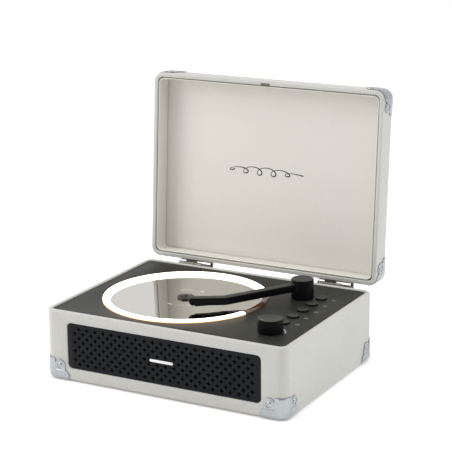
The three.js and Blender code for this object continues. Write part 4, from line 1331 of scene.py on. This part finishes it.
# ---- Grille ------------------------------------------------------------------
@dataclass
class Grille:
    """The perforated front plate, its badge and the cloth behind it."""

    corner: float = 6 * MM
    flange: float = 4 * MM
    sheet: float = 2 * MM
    pitch: float = 12.3 * MM
    row_step: float = 5.95 * MM
    star: float = 3.7 * MM
    waist: float = 0.46
    margin: float = 5.5 * MM
    badge: Vector = field(default_factory=lambda: Vector((34, 1.0, 3.6)) * MM)
    badge_room: tuple[float, float] = (0.66, 1.6)

    def face(self, grow: float = 0.0) -> tuple[Vector, Vector]:
        """Gives the raised face's lowest and highest corners, grown sideways.

        Args:
            grow: How far it is grown outwards.

        Returns:
            The lowest and the highest corner.
        """
        low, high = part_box("grille_panel")
        inset = self.flange - grow
        near = Vector((low.x + inset, low.y, low.z + inset))
        far = Vector((high.x - inset, high.y, high.z - inset))
        return near, far

    def hole(self) -> Piece:
        """Builds one four-pointed punch, its points up, down, left and right.

        Returns:
            The new piece.
        """
        punch = rod("punch", (0, 0, 0), self.star, 3 * self.sheet, 1, 8)

        def eighth(p: Vector) -> int:
            """Gives which eighth of a turn a point lies at."""
            return round(math.degrees(math.atan2(p.z, p.x)) / 45)

        odd = {eighth(v.co) % 2 for v in punch.data.vertices}
        select_edges(punch, lambda a, b: eighth(a) % 2 == max(odd) and eighth(a) == eighth(b))
        bpy.ops.transform.resize(value=(self.waist, 1, self.waist), center_override=(0, 0, 0))
        close_edit()
        return punch

    def plate(self) -> Piece:
        """Builds the plate and punches the offset rows of stars through it.

        Returns:
            The new piece.
        """
        low, high = self.face()
        face = rounded_block("grille_plate", low, (high.x, low.y + self.sheet, high.z), self.corner, 1, 8)
        centre = (low + high) / 2
        rows = int((high.z - low.z - 2 * self.margin) / self.row_step / 2)
        columns = int((high.x - low.x - 2 * self.margin) / self.pitch)
        punch = self.hole()
        punches = []
        for row in range(-rows, rows + 1):
            offset = 0.5 if row % 2 else 0.0
            for column in range(-columns, columns + 1):
                x = centre.x + (column + offset) * self.pitch
                if abs(x - centre.x) > (high.x - low.x) / 2 - self.margin:
                    continue
                beside = abs(row * self.row_step) >= self.badge_room[1] * self.badge.z
                if not beside and abs(x - centre.x) < self.badge_room[0] * self.badge.x:
                    continue
                place = Matrix.Translation((x, low.y + self.sheet / 2, centre.z + row * self.row_step))
                punches.append(copied(punch, "punch", place))
        bpy.data.objects.remove(punch, do_unlink=True)
        combined(face, joined(punches))
        return rounded(face, 0.3 * MM, 2, 60)

    def frame_band(self) -> Piece:
        """Builds the plate's clamping flange behind the wall.

        Returns:
            The new piece.
        """
        low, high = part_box("grille_panel")
        band = rounded_block("grille_flange", (low.x, high.y - self.sheet, low.z), high,
                             self.corner + self.flange, 1, 8)
        low, high = self.face()
        lap = 3 * MM
        cut = rounded_block("cut", (low.x + lap, low.y, low.z + lap),
                            (high.x - lap, high.y + 5 * MM, high.z - lap), self.corner, 1)
        return combined(band, cut)

    def build(self, bench: Bench) -> None:
        """Builds the grille and hands its pieces over.

        Args:
            bench: What takes the finished pieces.
        """
        bench.hand_over(joined([self.plate(), self.frame_band()]), Body.ROOT, GRILLE, "grille_panel")
        low, high = self.face()
        cloth = rounded_block("speaker_cloth", (low.x + 1 * MM, low.y + 2 * self.sheet, low.z + 1 * MM),
                              (high.x - 1 * MM, low.y + 2 * self.sheet + 0.5 * MM, high.z - 1 * MM),
                              self.corner, 1)
        bench.hand_over(cloth, Body.ROOT, CLOTH)
        middle = (low + high) / 2
        wide, deep, tall = self.badge
        badge = rounded_block("grille_badge", (-wide / 2, low.y - deep * 0.4, middle.z - tall / 2),
                              (wide / 2, low.y + deep, middle.z + tall / 2), tall * 0.45, 1, 6)
        bench.hand_over(rounded(badge, 0.2 * MM, 2), Body.ROOT, BADGE)


# ---- Deck, ring and platter --------------------------------------------------
@dataclass
class Deck:
    """The deck plate, the lit ring set into it, and the platter that turns inside the ring."""

    corner: float = 7 * MM
    # Angles that bound the ring's unlit dark stretch, a painted reflection and shade of the tonearm.
    dark_from: float = -16.0
    dark_to: float = 24.0
    ring_width: float = 9.4 * MM
    run: float = 0.6 * MM
    hub_cap: float = 2.8 * MM
    pin_radius: float = 3.5 * MM
    pin_height: float = 1.2 * MM

    @staticmethod
    def centre() -> Vector:
        """Gives the platter's axis."""
        low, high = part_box("platter_disc")
        return (low + high) / 2

    @staticmethod
    def top() -> float:
        """Gives the height of the deck's face."""
        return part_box("deck_plate")[1].z

    @staticmethod
    def ring_radius() -> float:
        """Gives the light ring's outer radius, from its box on the side that is whole."""
        return Deck.centre().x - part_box("light_ring")[0].x

    def plate(self) -> Piece:
        """Builds the deck plate with its openings, each with a broken edge.

        Returns:
            The new piece.
        """
        low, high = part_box("deck_plate")
        plate = rounded_block("deck_face", low, high, self.corner)
        depth = 4 * (high.z - low.z)
        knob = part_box("volume_knob")
        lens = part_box("indicator_lens")
        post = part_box("tonearm_base")
        holes = [(self.centre(), self.ring_radius() + GAP, 160), ((knob[0] + knob[1]) / 2, 5 * MM, 32),
                 ((lens[0] + lens[1]) / 2, (lens[1].x - lens[0].x) / 2 + GAP, 24),
                 ((post[0] + post[1]) / 2, 9.9 * MM, 48)]
        for node in button_nodes():
            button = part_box(node)
            holes.append(((button[0] + button[1]) / 2, (button[1].x - button[0].x) / 2 + self.run, 48))
        for centre, radius, steps in holes:
            combined(plate, rod("cut", (centre.x, centre.y, high.z), radius, depth, 2, steps))
        return rounded(plate, 0.6 * MM, 3, 55)

    def wedge(self) -> Piece:
        """Adds the sector of the ring that is left unlit and dark copper-brown, a painted reflection and
        shade of the tonearm.

        Returns:
            The new piece.
        """
        centre, reach = self.centre(), 2 * self.ring_radius()
        depth = 40 * MM
        wedge = block("wedge", (centre.x, centre.y - reach, centre.z - depth),
                      (centre.x + reach, centre.y + reach, centre.z + depth))
        for angle, side in ((self.dark_from, 1), (self.dark_to, -1)):
            turn = math.radians(angle)
            select_faces(wedge, lambda middle, normal: True)
            away = (side * math.sin(turn), -side * math.cos(turn), 0)
            bpy.ops.mesh.bisect(plane_co=centre, plane_no=away, use_fill=True, clear_outer=True,
                                threshold=CUT_WELD)
            close_edit()
        return wedge

    def band(self, name: str) -> Piece:
        """Builds the whole ring, its crown domed and highest towards the inside.

        Args:
            name: The new piece's name.

        Returns:
            The new piece.
        """
        low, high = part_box("light_ring")
        outer = self.ring_radius()
        inner = outer - self.ring_width
        profile = [(outer, low.z), (outer, high.z - 1.9 * MM), (outer - 0.35 * MM, high.z - 1.35 * MM),
                   (outer - 1.2 * MM, high.z - 0.9 * MM), (outer - 3.2 * MM, high.z - 0.35 * MM),
                   (outer - 5.9 * MM, high.z), (outer - 7.2 * MM, high.z - 0.15 * MM),
                   (inner + 1.1 * MM, high.z - 0.8 * MM), (inner + 0.3 * MM, high.z - 1.5 * MM),
                   (inner, high.z - 2.2 * MM), (inner, low.z)]
        return turned(name, self.centre(), profile, 180, through=True)

    def disc(self) -> Piece:
        """Builds the mirror disc with a bevelled rim and a fine ring where a label lies.

        Returns:
            The new piece.
        """
        low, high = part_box("platter_disc")
        radius = (high.x - low.x) / 2
        groove = 34 * MM
        disc = turned("platter_mirror", self.centre(), [
            (radius - 0.4 * MM, low.z), (radius, low.z + 0.4 * MM), (radius, high.z - 0.35 * MM),
            (radius - 0.35 * MM, high.z), (groove + 0.1 * MM, high.z), (groove, high.z - 0.12 * MM),
            (groove - 0.6 * MM, high.z - 0.12 * MM), (groove - 0.7 * MM, high.z), (3.3 * MM, high.z),
            (3.3 * MM, low.z)], 180, through=True)
        return disc

    def hub(self) -> Piece:
        """Builds the hub: its shaft, its domed cap with a ring step, and the centre pin.

        Returns:
            The new piece.
        """
        low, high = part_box("platter_hub")
        radius = (high.x - low.x) / 2
        top = high.z - self.pin_height
        seat = top - self.hub_cap + GAP
        return turned("platter_hub_cap", self.centre(), [
            (3 * MM, low.z), (3 * MM, seat), (radius - 0.3 * MM, seat + 0.001 * MM),
            (radius, seat + 0.4 * MM), (radius, top - 1.0 * MM), (radius - 0.2 * MM, top - 0.6 * MM),
            (radius - 0.7 * MM, top - 0.3 * MM), (radius - 2.0 * MM, top - 0.08 * MM),
            (radius - 4.0 * MM, top), (self.pin_radius + 0.4 * MM, top),
            (self.pin_radius, top + 0.2 * MM), (self.pin_radius, high.z - 0.5 * MM),
            (self.pin_radius - 0.3 * MM, high.z - 0.2 * MM), (self.pin_radius - 1.0 * MM, high.z),
        ], 96)

    def build(self, bench: Bench) -> None:
        """Builds the deck's pieces and hands them over.

        Args:
            bench: What takes the finished pieces.
        """
        bench.hand_over(self.plate(), Body.ROOT, DECK, "deck_plate")
        lit = combined(self.band("light_ring_lit"), self.wedge())
        bench.hand_over(lit, Body.ROOT, LIGHT, "light_ring", angle=50)
        # The stretch under the tonearm is left unlit and dark copper-brown: painted reflection and shade.
        dark = combined(self.band("light_ring_dark"), self.wedge(), "INTERSECT")
        bench.hand_over(dark, Body.ROOT, PAINTED_REFLECTION, "light_ring_cover", angle=50)
        bench.hand_over(self.disc(), Body.PLATTER, MIRROR, "platter_disc", angle=20)
        bench.hand_over(self.hub(), Body.PLATTER, DARK_CHROME, "platter_hub")


# ---- Tonearm -----------------------------------------------------------------
@dataclass
class Tonearm:
    """The tonearm on its post: a fixed foot, a turning head with a slot, and the cranked arm."""

    direction: float = 228.9
    head_direction: float = 219.5
    length: float = 109.5 * MM
    head: float = 48 * MM
    width: float = 12 * MM
    thickness: float = 10.2 * MM
    tail: float = 8 * MM
    tops: tuple[float, float, float] = (21.8 * MM, 14.4 * MM, 16.9 * MM)
    bend_reach: float = 6 * MM
    bend_steps: int = 6
    run: float = 0.6 * MM
    edge: float = 1.5 * MM

    @staticmethod
    def pivot() -> Vector:
        """Gives the post's axis."""
        low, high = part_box("tonearm_turret")
        return (low + high) / 2

    def stand(self) -> Matrix:
        """Gives the place of everything drawn with the arm along +X from the post.

        Returns:
            The place.
        """
        pivot = self.pivot()
        return (Matrix.Translation((pivot.x, pivot.y, Deck.top()))
                @ Matrix.Rotation(math.radians(self.direction), 4, "Z"))

    def foot(self) -> Piece:
        """Builds the post's fixed foot.

        Returns:
            The new piece.
        """
        low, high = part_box("tonearm_base")
        radius = (high.x - low.x) / 2
        deck = Deck.top()
        return turned("tonearm_foot", self.pivot(), [
            (9.6 * MM, low.z), (9.6 * MM, deck + GAP), (radius - 0.4 * MM, deck + GAP + 0.001 * MM),
            (radius, deck + GAP + 0.4 * MM), (radius, high.z - 0.35 * MM), (radius - 0.35 * MM, high.z),
            (4.3 * MM, high.z), (4.3 * MM, low.z)], 96, through=True)

    def post(self) -> Piece:
        """Builds the turning head: a cylinder with a broken top edge and the arm's slot.

        Returns:
            The new piece.
        """
        low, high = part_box("tonearm_turret")
        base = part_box("tonearm_base")[1].z + GAP
        radius = (high.x - low.x) / 2
        post = turned("tonearm_post", self.pivot(), [
            (4 * MM, low.z), (4 * MM, base), (radius - 0.35 * MM, base + 0.001 * MM),
            (radius, base + 0.35 * MM), (radius, high.z - 0.9 * MM),
            (radius - 0.25 * MM, high.z - 0.35 * MM), (radius - 0.9 * MM, high.z),
            (radius - 3.2 * MM, high.z), (radius - 3.4 * MM, high.z - 0.15 * MM),
            (radius - 3.7 * MM, high.z - 0.15 * MM), (radius - 3.9 * MM, high.z)], 96)
        half = self.width / 2 + self.run
        top = self.tops[0]
        slot = rounded_block("slot", (-self.tail - 2 * MM, -half, top - self.thickness - 2 * MM),
                             (radius + 4 * MM, half, top + 1.5 * MM), 1 * MM, 0, 3)
        return combined(post, moved(slot, self.stand()))

    def bar(self) -> Piece:
        """Builds the arm: a box drawn out from its tail, cranked at the bend, with soft edges.

        Returns:
            The new piece.
        """
        half, thick = self.width / 2, self.thickness
        at_pivot, at_bend, at_tip = self.tops
        slope = (at_bend - at_pivot) / self.length
        rise = (at_tip - at_bend) / self.head
        start = at_pivot - slope * self.tail
        bar = block("arm", (-self.tail, -half, start - thick), (-self.tail + 2 * MM, half, start))
        x, y, z = -self.tail + 2 * MM, 0.0, start
        select_faces(bar, lambda middle, normal: normal.x > 0.9)

        def draw(distance: float, climb: float, heading: float, turn: float) -> None:
            """Extrudes the end face along a heading and turns it.

            Args:
                distance: How far to draw.
                climb: The rise for each unit drawn.
                heading: The direction to draw in, in radians.
                turn: How far the end face then turns, in radians.
            """
            nonlocal x, y, z
            step = (distance * math.cos(heading), distance * math.sin(heading), climb * distance)
            bpy.ops.mesh.extrude_region()
            bpy.ops.transform.translate(value=step)
            x, y, z = x + step[0], y + step[1], z + step[2]
            if turn:
                bpy.ops.transform.rotate(value=-turn, orient_axis="Z", center_override=(x, y, z))

        crank = math.radians(self.head_direction - self.direction)
        straight = self.length - self.bend_reach + self.tail - 2 * MM
        draw(straight * 0.5, slope, 0, 0)
        draw(straight * 0.5, slope, 0, 0)
        for number in range(self.bend_steps):
            heading = crank * (number + 0.5) / self.bend_steps
            climb = slope if number < self.bend_steps / 2 else rise
            draw(2 * self.bend_reach / self.bend_steps, climb, heading, crank / self.bend_steps)
        draw(self.head - self.bend_reach - 10 * MM, rise, crank, 0)
        draw(10 * MM, rise, crank, 0)
        close_edit()
        tip = Vector((math.cos(crank), math.sin(crank), 0))
        ahead = max(v.co.dot(tip) for v in bar.data.vertices) - 0.1 * MM
        lowest = min(v.co.z for v in bar.data.vertices if v.co.dot(tip) > ahead)
        chin = lowest + 1 * MM
        bevel_edges(bar, lambda a, b: min(a.dot(tip), b.dot(tip)) > ahead and max(a.z, b.z) < chin,
                    5 * MM, 7)
        return rounded(bar, self.edge, 4, 35)

    def pocket(self) -> Piece:
        """Adds the block that hollows the head's underside for the cartridge."""
        low, high = self.cartridge_sizes(GAP)
        return moved(block("pocket", low, high), self.head_place())

    def cartridge_sizes(self, grow: float) -> tuple[tuple, tuple]:
        """Gives the cartridge's corners along the head, grown by a gap.

        Args:
            grow: How far it is grown outwards.

        Returns:
            The lowest and the highest corner.
        """
        long, wide = 16 * MM, 7 * MM
        end = self.head - 8 * MM
        under = self.tops[1] - self.thickness
        base = -8 * MM if grow else self.tops[2] - self.thickness - 1.8 * MM
        top = under + 6 * MM + grow
        return (end - long - grow, -wide / 2 - grow, base), (end + grow, wide / 2 + grow, top)

    def head_place(self) -> Matrix:
        """Gives the place of what is drawn along the head, from the bend."""
        crank = math.radians(self.head_direction - self.direction)
        return Matrix.Translation((self.length, 0, 0)) @ Matrix.Rotation(crank, 4, "Z")

    def build(self, bench: Bench) -> None:
        """Builds the tonearm's pieces and hands them over.

        Args:
            bench: What takes the finished pieces.
        """
        bench.hand_over(self.foot(), Body.ROOT, SATIN, "tonearm_base")
        # Post and arm: lighter tops as painted light, near-black side faces as painted shade.
        bench.hand_over(self.post(), Body.SWIVEL, PAINTED_LIT_TOP, "tonearm_turret", shaded_sides=SATIN)
        bar = combined(self.bar(), self.pocket())
        bar.name = "tonearm_arm"
        bench.hand_over(moved(bar, self.stand()), Body.ARM, PAINTED_LIT_TOP, "tonearm_bar", shaded_sides=SATIN)


# ---- Controls ----------------------------------------------------------------
def button_nodes() -> list[str]:
    """Gives the names of the push button nodes, rear to front."""
    nodes = [node for node in frame["nodes"] if node.startswith("button_")]
    return sorted(nodes, key=lambda node: -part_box(node)[0].y)


@dataclass
class Controls:
    """The volume knob, the push buttons, the indicator lens and what is printed beside them."""

    print_height: float = 0.06 * MM
    stroke: float = 0.55 * MM
    icon_out: float = 17.7 * MM
    icon_up: float = 1.5 * MM
    icon: float = 2.5 * MM
    arc: tuple[float, float] = (8, 66)
    arc_lean: float = 40
    arc_shift: float = 1.7 * MM
    pointer_turn: float = 235

    def knob(self) -> Piece:
        """Builds the volume knob: a turned cylinder with a dished top and a broken edge.

        Returns:
            The new piece.
        """
        low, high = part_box("volume_knob")
        centre = (low + high) / 2
        radius = (high.x - low.x) / 2
        return turned("volume_dial", centre, [
            (radius - 0.5 * MM, low.z), (radius, low.z + 0.5 * MM), (radius, high.z - 0.7 * MM),
            (radius - 0.2 * MM, high.z - 0.2 * MM), (radius - 0.7 * MM, high.z),
            (radius - 1.6 * MM, high.z - 0.05 * MM), (radius - 2.4 * MM, high.z - 0.3 * MM)], 128)

    def pointer(self) -> Piece:
        """Builds the knob's inlaid pointer line, towards the volume mark's start.

        Returns:
            The new piece.
        """
        low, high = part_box("volume_knob")
        centre = (low + high) / 2
        radius = (high.x - low.x) / 2
        line = rounded_block("volume_pointer", (radius * 0.62, -0.45 * MM, -0.1 * MM),
                             (radius * 0.84, 0.45 * MM, 0.05 * MM), 0.4 * MM)
        turn = Matrix.Rotation(math.radians(self.pointer_turn), 4, "Z")
        return moved(line, Matrix.Translation((centre.x, centre.y, high.z - 0.3 * MM)) @ turn)

    def button(self, node: str) -> Piece:
        """Builds one push button with a shallow finger dish.

        Args:
            node: The CAD node to match.

        Returns:
            The new piece.
        """
        low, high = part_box(node)
        centre = (low + high) / 2
        radius = (high.x - low.x) / 2
        return turned(node + "_cap", centre, [
            (radius, low.z), (radius, high.z - 0.5 * MM), (radius - 0.15 * MM, high.z - 0.15 * MM),
            (radius - 0.5 * MM, high.z), (radius - 1.1 * MM, high.z - 0.05 * MM),
            (radius * 0.6, high.z - 0.28 * MM), (radius * 0.3, high.z - 0.38 * MM)], 64)

    def bar_mark(self, x0: float, x1: float, y0: float, y1: float) -> Piece:
        """Adds one printed bar."""
        return block("mark", (x0, y0, 0), (x1, y1, self.print_height))

    def ring_mark(self, radius: float, stroke: float) -> Piece:
        """Adds one printed circle.

        Args:
            radius: Its radius.
            stroke: How wide its line is.

        Returns:
            The new piece.
        """
        outer, inner = radius + stroke / 2, radius - stroke / 2
        return turned("mark", (0, 0), [(outer, 0), (outer, self.print_height), (inner, self.print_height),
                                       (inner, 0)], 32, through=True)

    def arrow_mark(self, x: float, size: float, way: int) -> Piece:
        """Adds one printed triangle that points along X.

        Args:
            x: Where it lies along X.
            size: Its size.
            way: 1 to point right, -1 to point left.

        Returns:
            The new piece.
        """
        arrow = rod("mark", (0, 0, self.print_height / 2), size, self.print_height, 2, 3)
        moved(arrow, Matrix.Rotation(math.radians(-90 * way), 4, "Z"))
        return moved(arrow, Matrix.Translation((x, 0, 0)))

    def icons(self) -> list[list[Piece]]:
        """Draws the five icons about the origin, rear to front.

        Returns:
            The pieces of each icon.
        """
        size, line = self.icon, self.stroke
        power_ring = combined(self.ring_mark(size * 0.8, line),
                              block("cut", (-line * 1.3, 0, -1 * MM), (line * 1.3, size * 2, 1 * MM)))
        power = [power_ring, self.bar_mark(-line / 2, line / 2, size * 0.25, size * 1.25)]
        rays = []
        for number in range(8):
            ray = self.bar_mark(size * 0.75, size * 1.2, -line * 0.4, line * 0.4)
            rays.append(moved(ray, Matrix.Rotation(math.radians(45 * number), 4, "Z")))
        light = [self.ring_mark(size * 0.4, line), *rays]
        source = []
        for way in (1, -1):
            across = sorted((-way * size, way * size * 0.6))
            along = sorted((way * size * 0.35, way * (size * 0.35 + line * 0.8)))
            source.append(self.bar_mark(*across, *along))
            source.append(moved(self.arrow_mark(0, size * 0.5, way),
                                Matrix.Translation((way * size * 0.8, way * size * 0.45, 0))))
        skips = []
        for way in (-1, 1):
            skips.append([self.arrow_mark(way * -0.5 * size, size * 0.75, way),
                          self.arrow_mark(way * 0.5 * size, size * 0.75, way),
                          self.bar_mark(*sorted((way * size * 1.2, way * (size * 1.2 + line))),
                                        -size * 0.65, size * 0.65)])
        return [power, light, source, *skips]

    def volume_mark(self) -> Piece:
        """Builds the printed wedge that grows around the knob's right side.

        Returns:
            The new piece.
        """
        low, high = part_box("volume_knob")
        centre = (low + high) / 2
        radius = (high.x - low.x) / 2
        bpy.ops.mesh.primitive_cylinder_add(vertices=96, radius=radius + 3.4 * MM, depth=self.print_height,
                                            location=(centre.x, centre.y, 0))
        mark = named("volume_mark")
        lean = math.radians(self.arc_lean)
        x = centre.x - math.cos(lean) * self.arc_shift
        y = centre.y - math.sin(lean) * self.arc_shift
        combined(mark, rod("cut", (x, y, 0), radius + 2.9 * MM, 1 * MM, 2, 96))
        for angle, side in zip(self.arc, (1, -1)):
            turn = math.radians(angle)
            select_faces(mark, lambda middle, normal: True)
            away = (side * math.sin(turn), -side * math.cos(turn), 0)
            bpy.ops.mesh.bisect(plane_co=centre, plane_no=away, use_fill=True, clear_outer=True,
                                threshold=CUT_WELD)
            close_edit()
        return moved(mark, Matrix.Translation((0, 0, Deck.top() + self.print_height / 2)))

    def build(self, bench: Bench) -> None:
        """Builds the controls and their print, and hands them over.

        Args:
            bench: What takes the finished pieces.
        """
        # Knob and buttons: lighter tops as painted light, near-black side faces as painted shade.
        bench.hand_over(self.knob(), Body.KNOB, PAINTED_LIT_TOP, "volume_knob", shaded_sides=SATIN)
        bench.hand_over(self.pointer(), Body.KNOB, PRINT)
        bench.hand_over(self.volume_mark(), Body.ROOT, PRINT)
        for node, icon in zip(button_nodes(), self.icons()):
            low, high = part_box(node)
            centre = (low + high) / 2
            bench.hand_over(self.button(node), node, PAINTED_LIT_TOP, node, shaded_sides=SATIN)
            place = Matrix.Translation((centre.x + self.icon_out, centre.y + self.icon_up, Deck.top()))
            mark = moved(joined(icon), place)
            mark.name = "print_" + node.removeprefix("button_")
            bench.hand_over(mark, Body.ROOT, PRINT)
        low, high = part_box("indicator_lens")
        radius = (high.x - low.x) / 2
        lens = turned("indicator_window", (low + high) / 2, [
            (radius, low.z), (radius, high.z - 0.2 * MM), (radius * 0.8, high.z - 0.06 * MM),
            (radius * 0.4, high.z)], 32)
        bench.hand_over(lens, Body.ROOT, SATIN, "indicator_lens")


# ---- Pieces that keep their CAD shape ----------------------------------------
CARRIED_OVER: dict[str, Finish] = {
    "bottom_panel": FIBRE,
    "speaker_left": SATIN,
    "speaker_right": SATIN,
    "main_board": BOARD,
    "control_board": BOARD,
    "rear_socket_panel": SATIN,
    "dc_socket": SATIN,
    "headphone_socket": SATIN,
    "line_out_socket": BRASS,
    "led_strip": BRASS,
    "platter_well": SATIN,
    "spindle_bush": BRASS,
    "motor": NICKEL,
    "motor_pulley": BRASS,
    "drive_belt": RUBBER,
    "platter_drive_rim": SATIN,
    "tonearm_pivot_pin": NICKEL,
    "cartridge": SATIN,
    "stylus": NICKEL,
    "volume_pot": NICKEL,
    "lid_catch_plate": NICKEL,
    "hinge_base_leaf_left": NICKEL,
    "hinge_base_leaf_right": NICKEL,
    "hinge_pin_left": NICKEL,
    "hinge_pin_right": NICKEL,
    "hinge_lid_leaf_left": NICKEL,
    "hinge_lid_leaf_right": NICKEL,
}


# Each soft box: name, place, size in metres, power in watts and colour.
SOFT_BOXES = (
    ("left_box", (-1.7, -1.1, 1.3), 1.2, 22, (1.0, 0.99, 0.97)),
    ("right_box", (1.9, 0.2, 1.1), 1.0, 10, (0.97, 0.98, 1.0)),
    ("top_box", (0.1, -0.3, 2.2), 1.6, 14, (1.0, 1.0, 1.0)),
)


# ---- Studio ------------------------------------------------------------------
@dataclass
class Studio:
    """A pale floor, soft lights and the camera."""

    azimuth: float = 28.537
    elevation: float = 15.137
    roll: float = -0.518
    distance: float = 2.1292
    focal: float = 128.63
    sensor: float = 36
    clip: tuple[float, float] = (0.05, 40)
    aim: Vector = field(default_factory=lambda: Vector((0, 0, 0.15)))
    target: Vector = field(default_factory=lambda: Vector((0.00685, 0.00154, 0.18908)))

    def back(self) -> Vector:
        """Gives the direction from the target to the camera."""
        az, el = math.radians(self.azimuth), math.radians(self.elevation)
        return Vector((math.sin(az) * math.cos(el), -math.cos(az) * math.cos(el), math.sin(el)))

    def camera(self) -> None:
        """Adds the camera and makes it the scene's."""
        back = self.back()
        right = Vector((math.cos(math.radians(self.azimuth)), math.sin(math.radians(self.azimuth)), 0))
        up = back.cross(right)
        turn = math.radians(self.roll)
        across = right * math.cos(turn) + up * math.sin(turn)
        above = up * math.cos(turn) - right * math.sin(turn)
        data = bpy.data.cameras.new("camera")
        data.lens = self.focal
        data.sensor_width = self.sensor
        data.clip_start, data.clip_end = self.clip
        camera = bpy.data.objects.new("camera", data)
        bpy.context.scene.collection.objects.link(camera)
        matrix = Matrix((across, above, back)).transposed().to_4x4()
        matrix.translation = self.target + back * self.distance
        camera.matrix_world = matrix
        bpy.context.scene.camera = camera

    def light(self, name: str, place: Sequence[float], size: float, power: float, colour: Colour) -> None:
        """Adds one square soft box that faces the object.

        Args:
            name: The new piece's name.
            place: Where it stands.
            size: Its size.
            power: Its power in watts.
            colour: Its colour.
        """
        data = bpy.data.lights.new(name, "AREA")
        data.shape = "SQUARE"
        data.size = size
        data.energy = power
        data.color = colour
        light = bpy.data.objects.new(name, data)
        bpy.context.scene.collection.objects.link(light)
        light.location = place
        light.rotation_euler = (self.aim - Vector(place)).to_track_quat("-Z", "Y").to_euler()

    def surroundings(self) -> None:
        """Fills the room with pale light, darker on the camera's side at eye level."""
        world = bpy.data.worlds.new("room")
        bpy.context.scene.world = world
        world.use_nodes = True
        wiring = Wiring(world.node_tree)
        direction = wiring.node("TexCoord").outputs["Generated"]
        back = self.back()
        facing = wiring.node("VectorMath", {0: direction, 1: (back.x, back.y, 0.0)},
                             operation="DOT_PRODUCT")
        dim = wiring.node("MapRange", {0: facing.outputs["Value"], 1: 0.2, 2: 0.85}).outputs[0]
        colour = wiring.mix(dim, WHITE, SHADED_ROOM)
        shader = wiring.node("Background", {"Color": colour, "Strength": ROOM_STRENGTH})
        end = wiring.node("OutputWorld")
        wiring.tree.links.new(shader.outputs[0], end.inputs["Surface"])

    def floor(self) -> None:
        """Adds the floor."""
        bpy.ops.mesh.primitive_plane_add(size=FLOOR_SIZE)
        floor = bpy.context.active_object
        floor.name = "floor"
        material = bpy.data.materials.new("floor_paper")
        material.use_nodes = True
        shader = material.node_tree.nodes["Principled BSDF"]
        shader.inputs["Base Color"].default_value = (*FLOOR_COLOUR, 1.0)
        shader.inputs["Roughness"].default_value = FLOOR_ROUGHNESS
        shader.inputs["Emission Color"].default_value = WHITE
        shader.inputs["Emission Strength"].default_value = FLOOR_GLOW
        floor.data.materials.append(material)

    def build(self) -> None:
        """Sets the scene up around the object."""
        self.floor()
        self.surroundings()
        for name, place, size, power, colour in SOFT_BOXES:
            self.light(name, place, size, power, colour)
        self.camera()
        bpy.context.scene.view_settings.view_transform = "Standard"


def main() -> None:
    """Builds the studio and every piece, and hands them over to the frame."""
    logging.basicConfig(level=logging.INFO, format="%(message)s")
    Studio().build()
    bench = Bench(Paint(GrainGroups()))
    lid = Lid()
    Case().build(bench)
    CornerCaps().build(bench, lid)
    lid.build(bench)
    HingeSleeves().build(bench)
    Grille().build(bench)
    Deck().build(bench)
    Tonearm().build(bench)
    Controls().build(bench)
    for node, finish in CARRIED_OVER.items():
        bench.dress_node(node, finish)
    LOG.info("%d new pieces", bench.count)


if __name__ == "__main__":
    main()
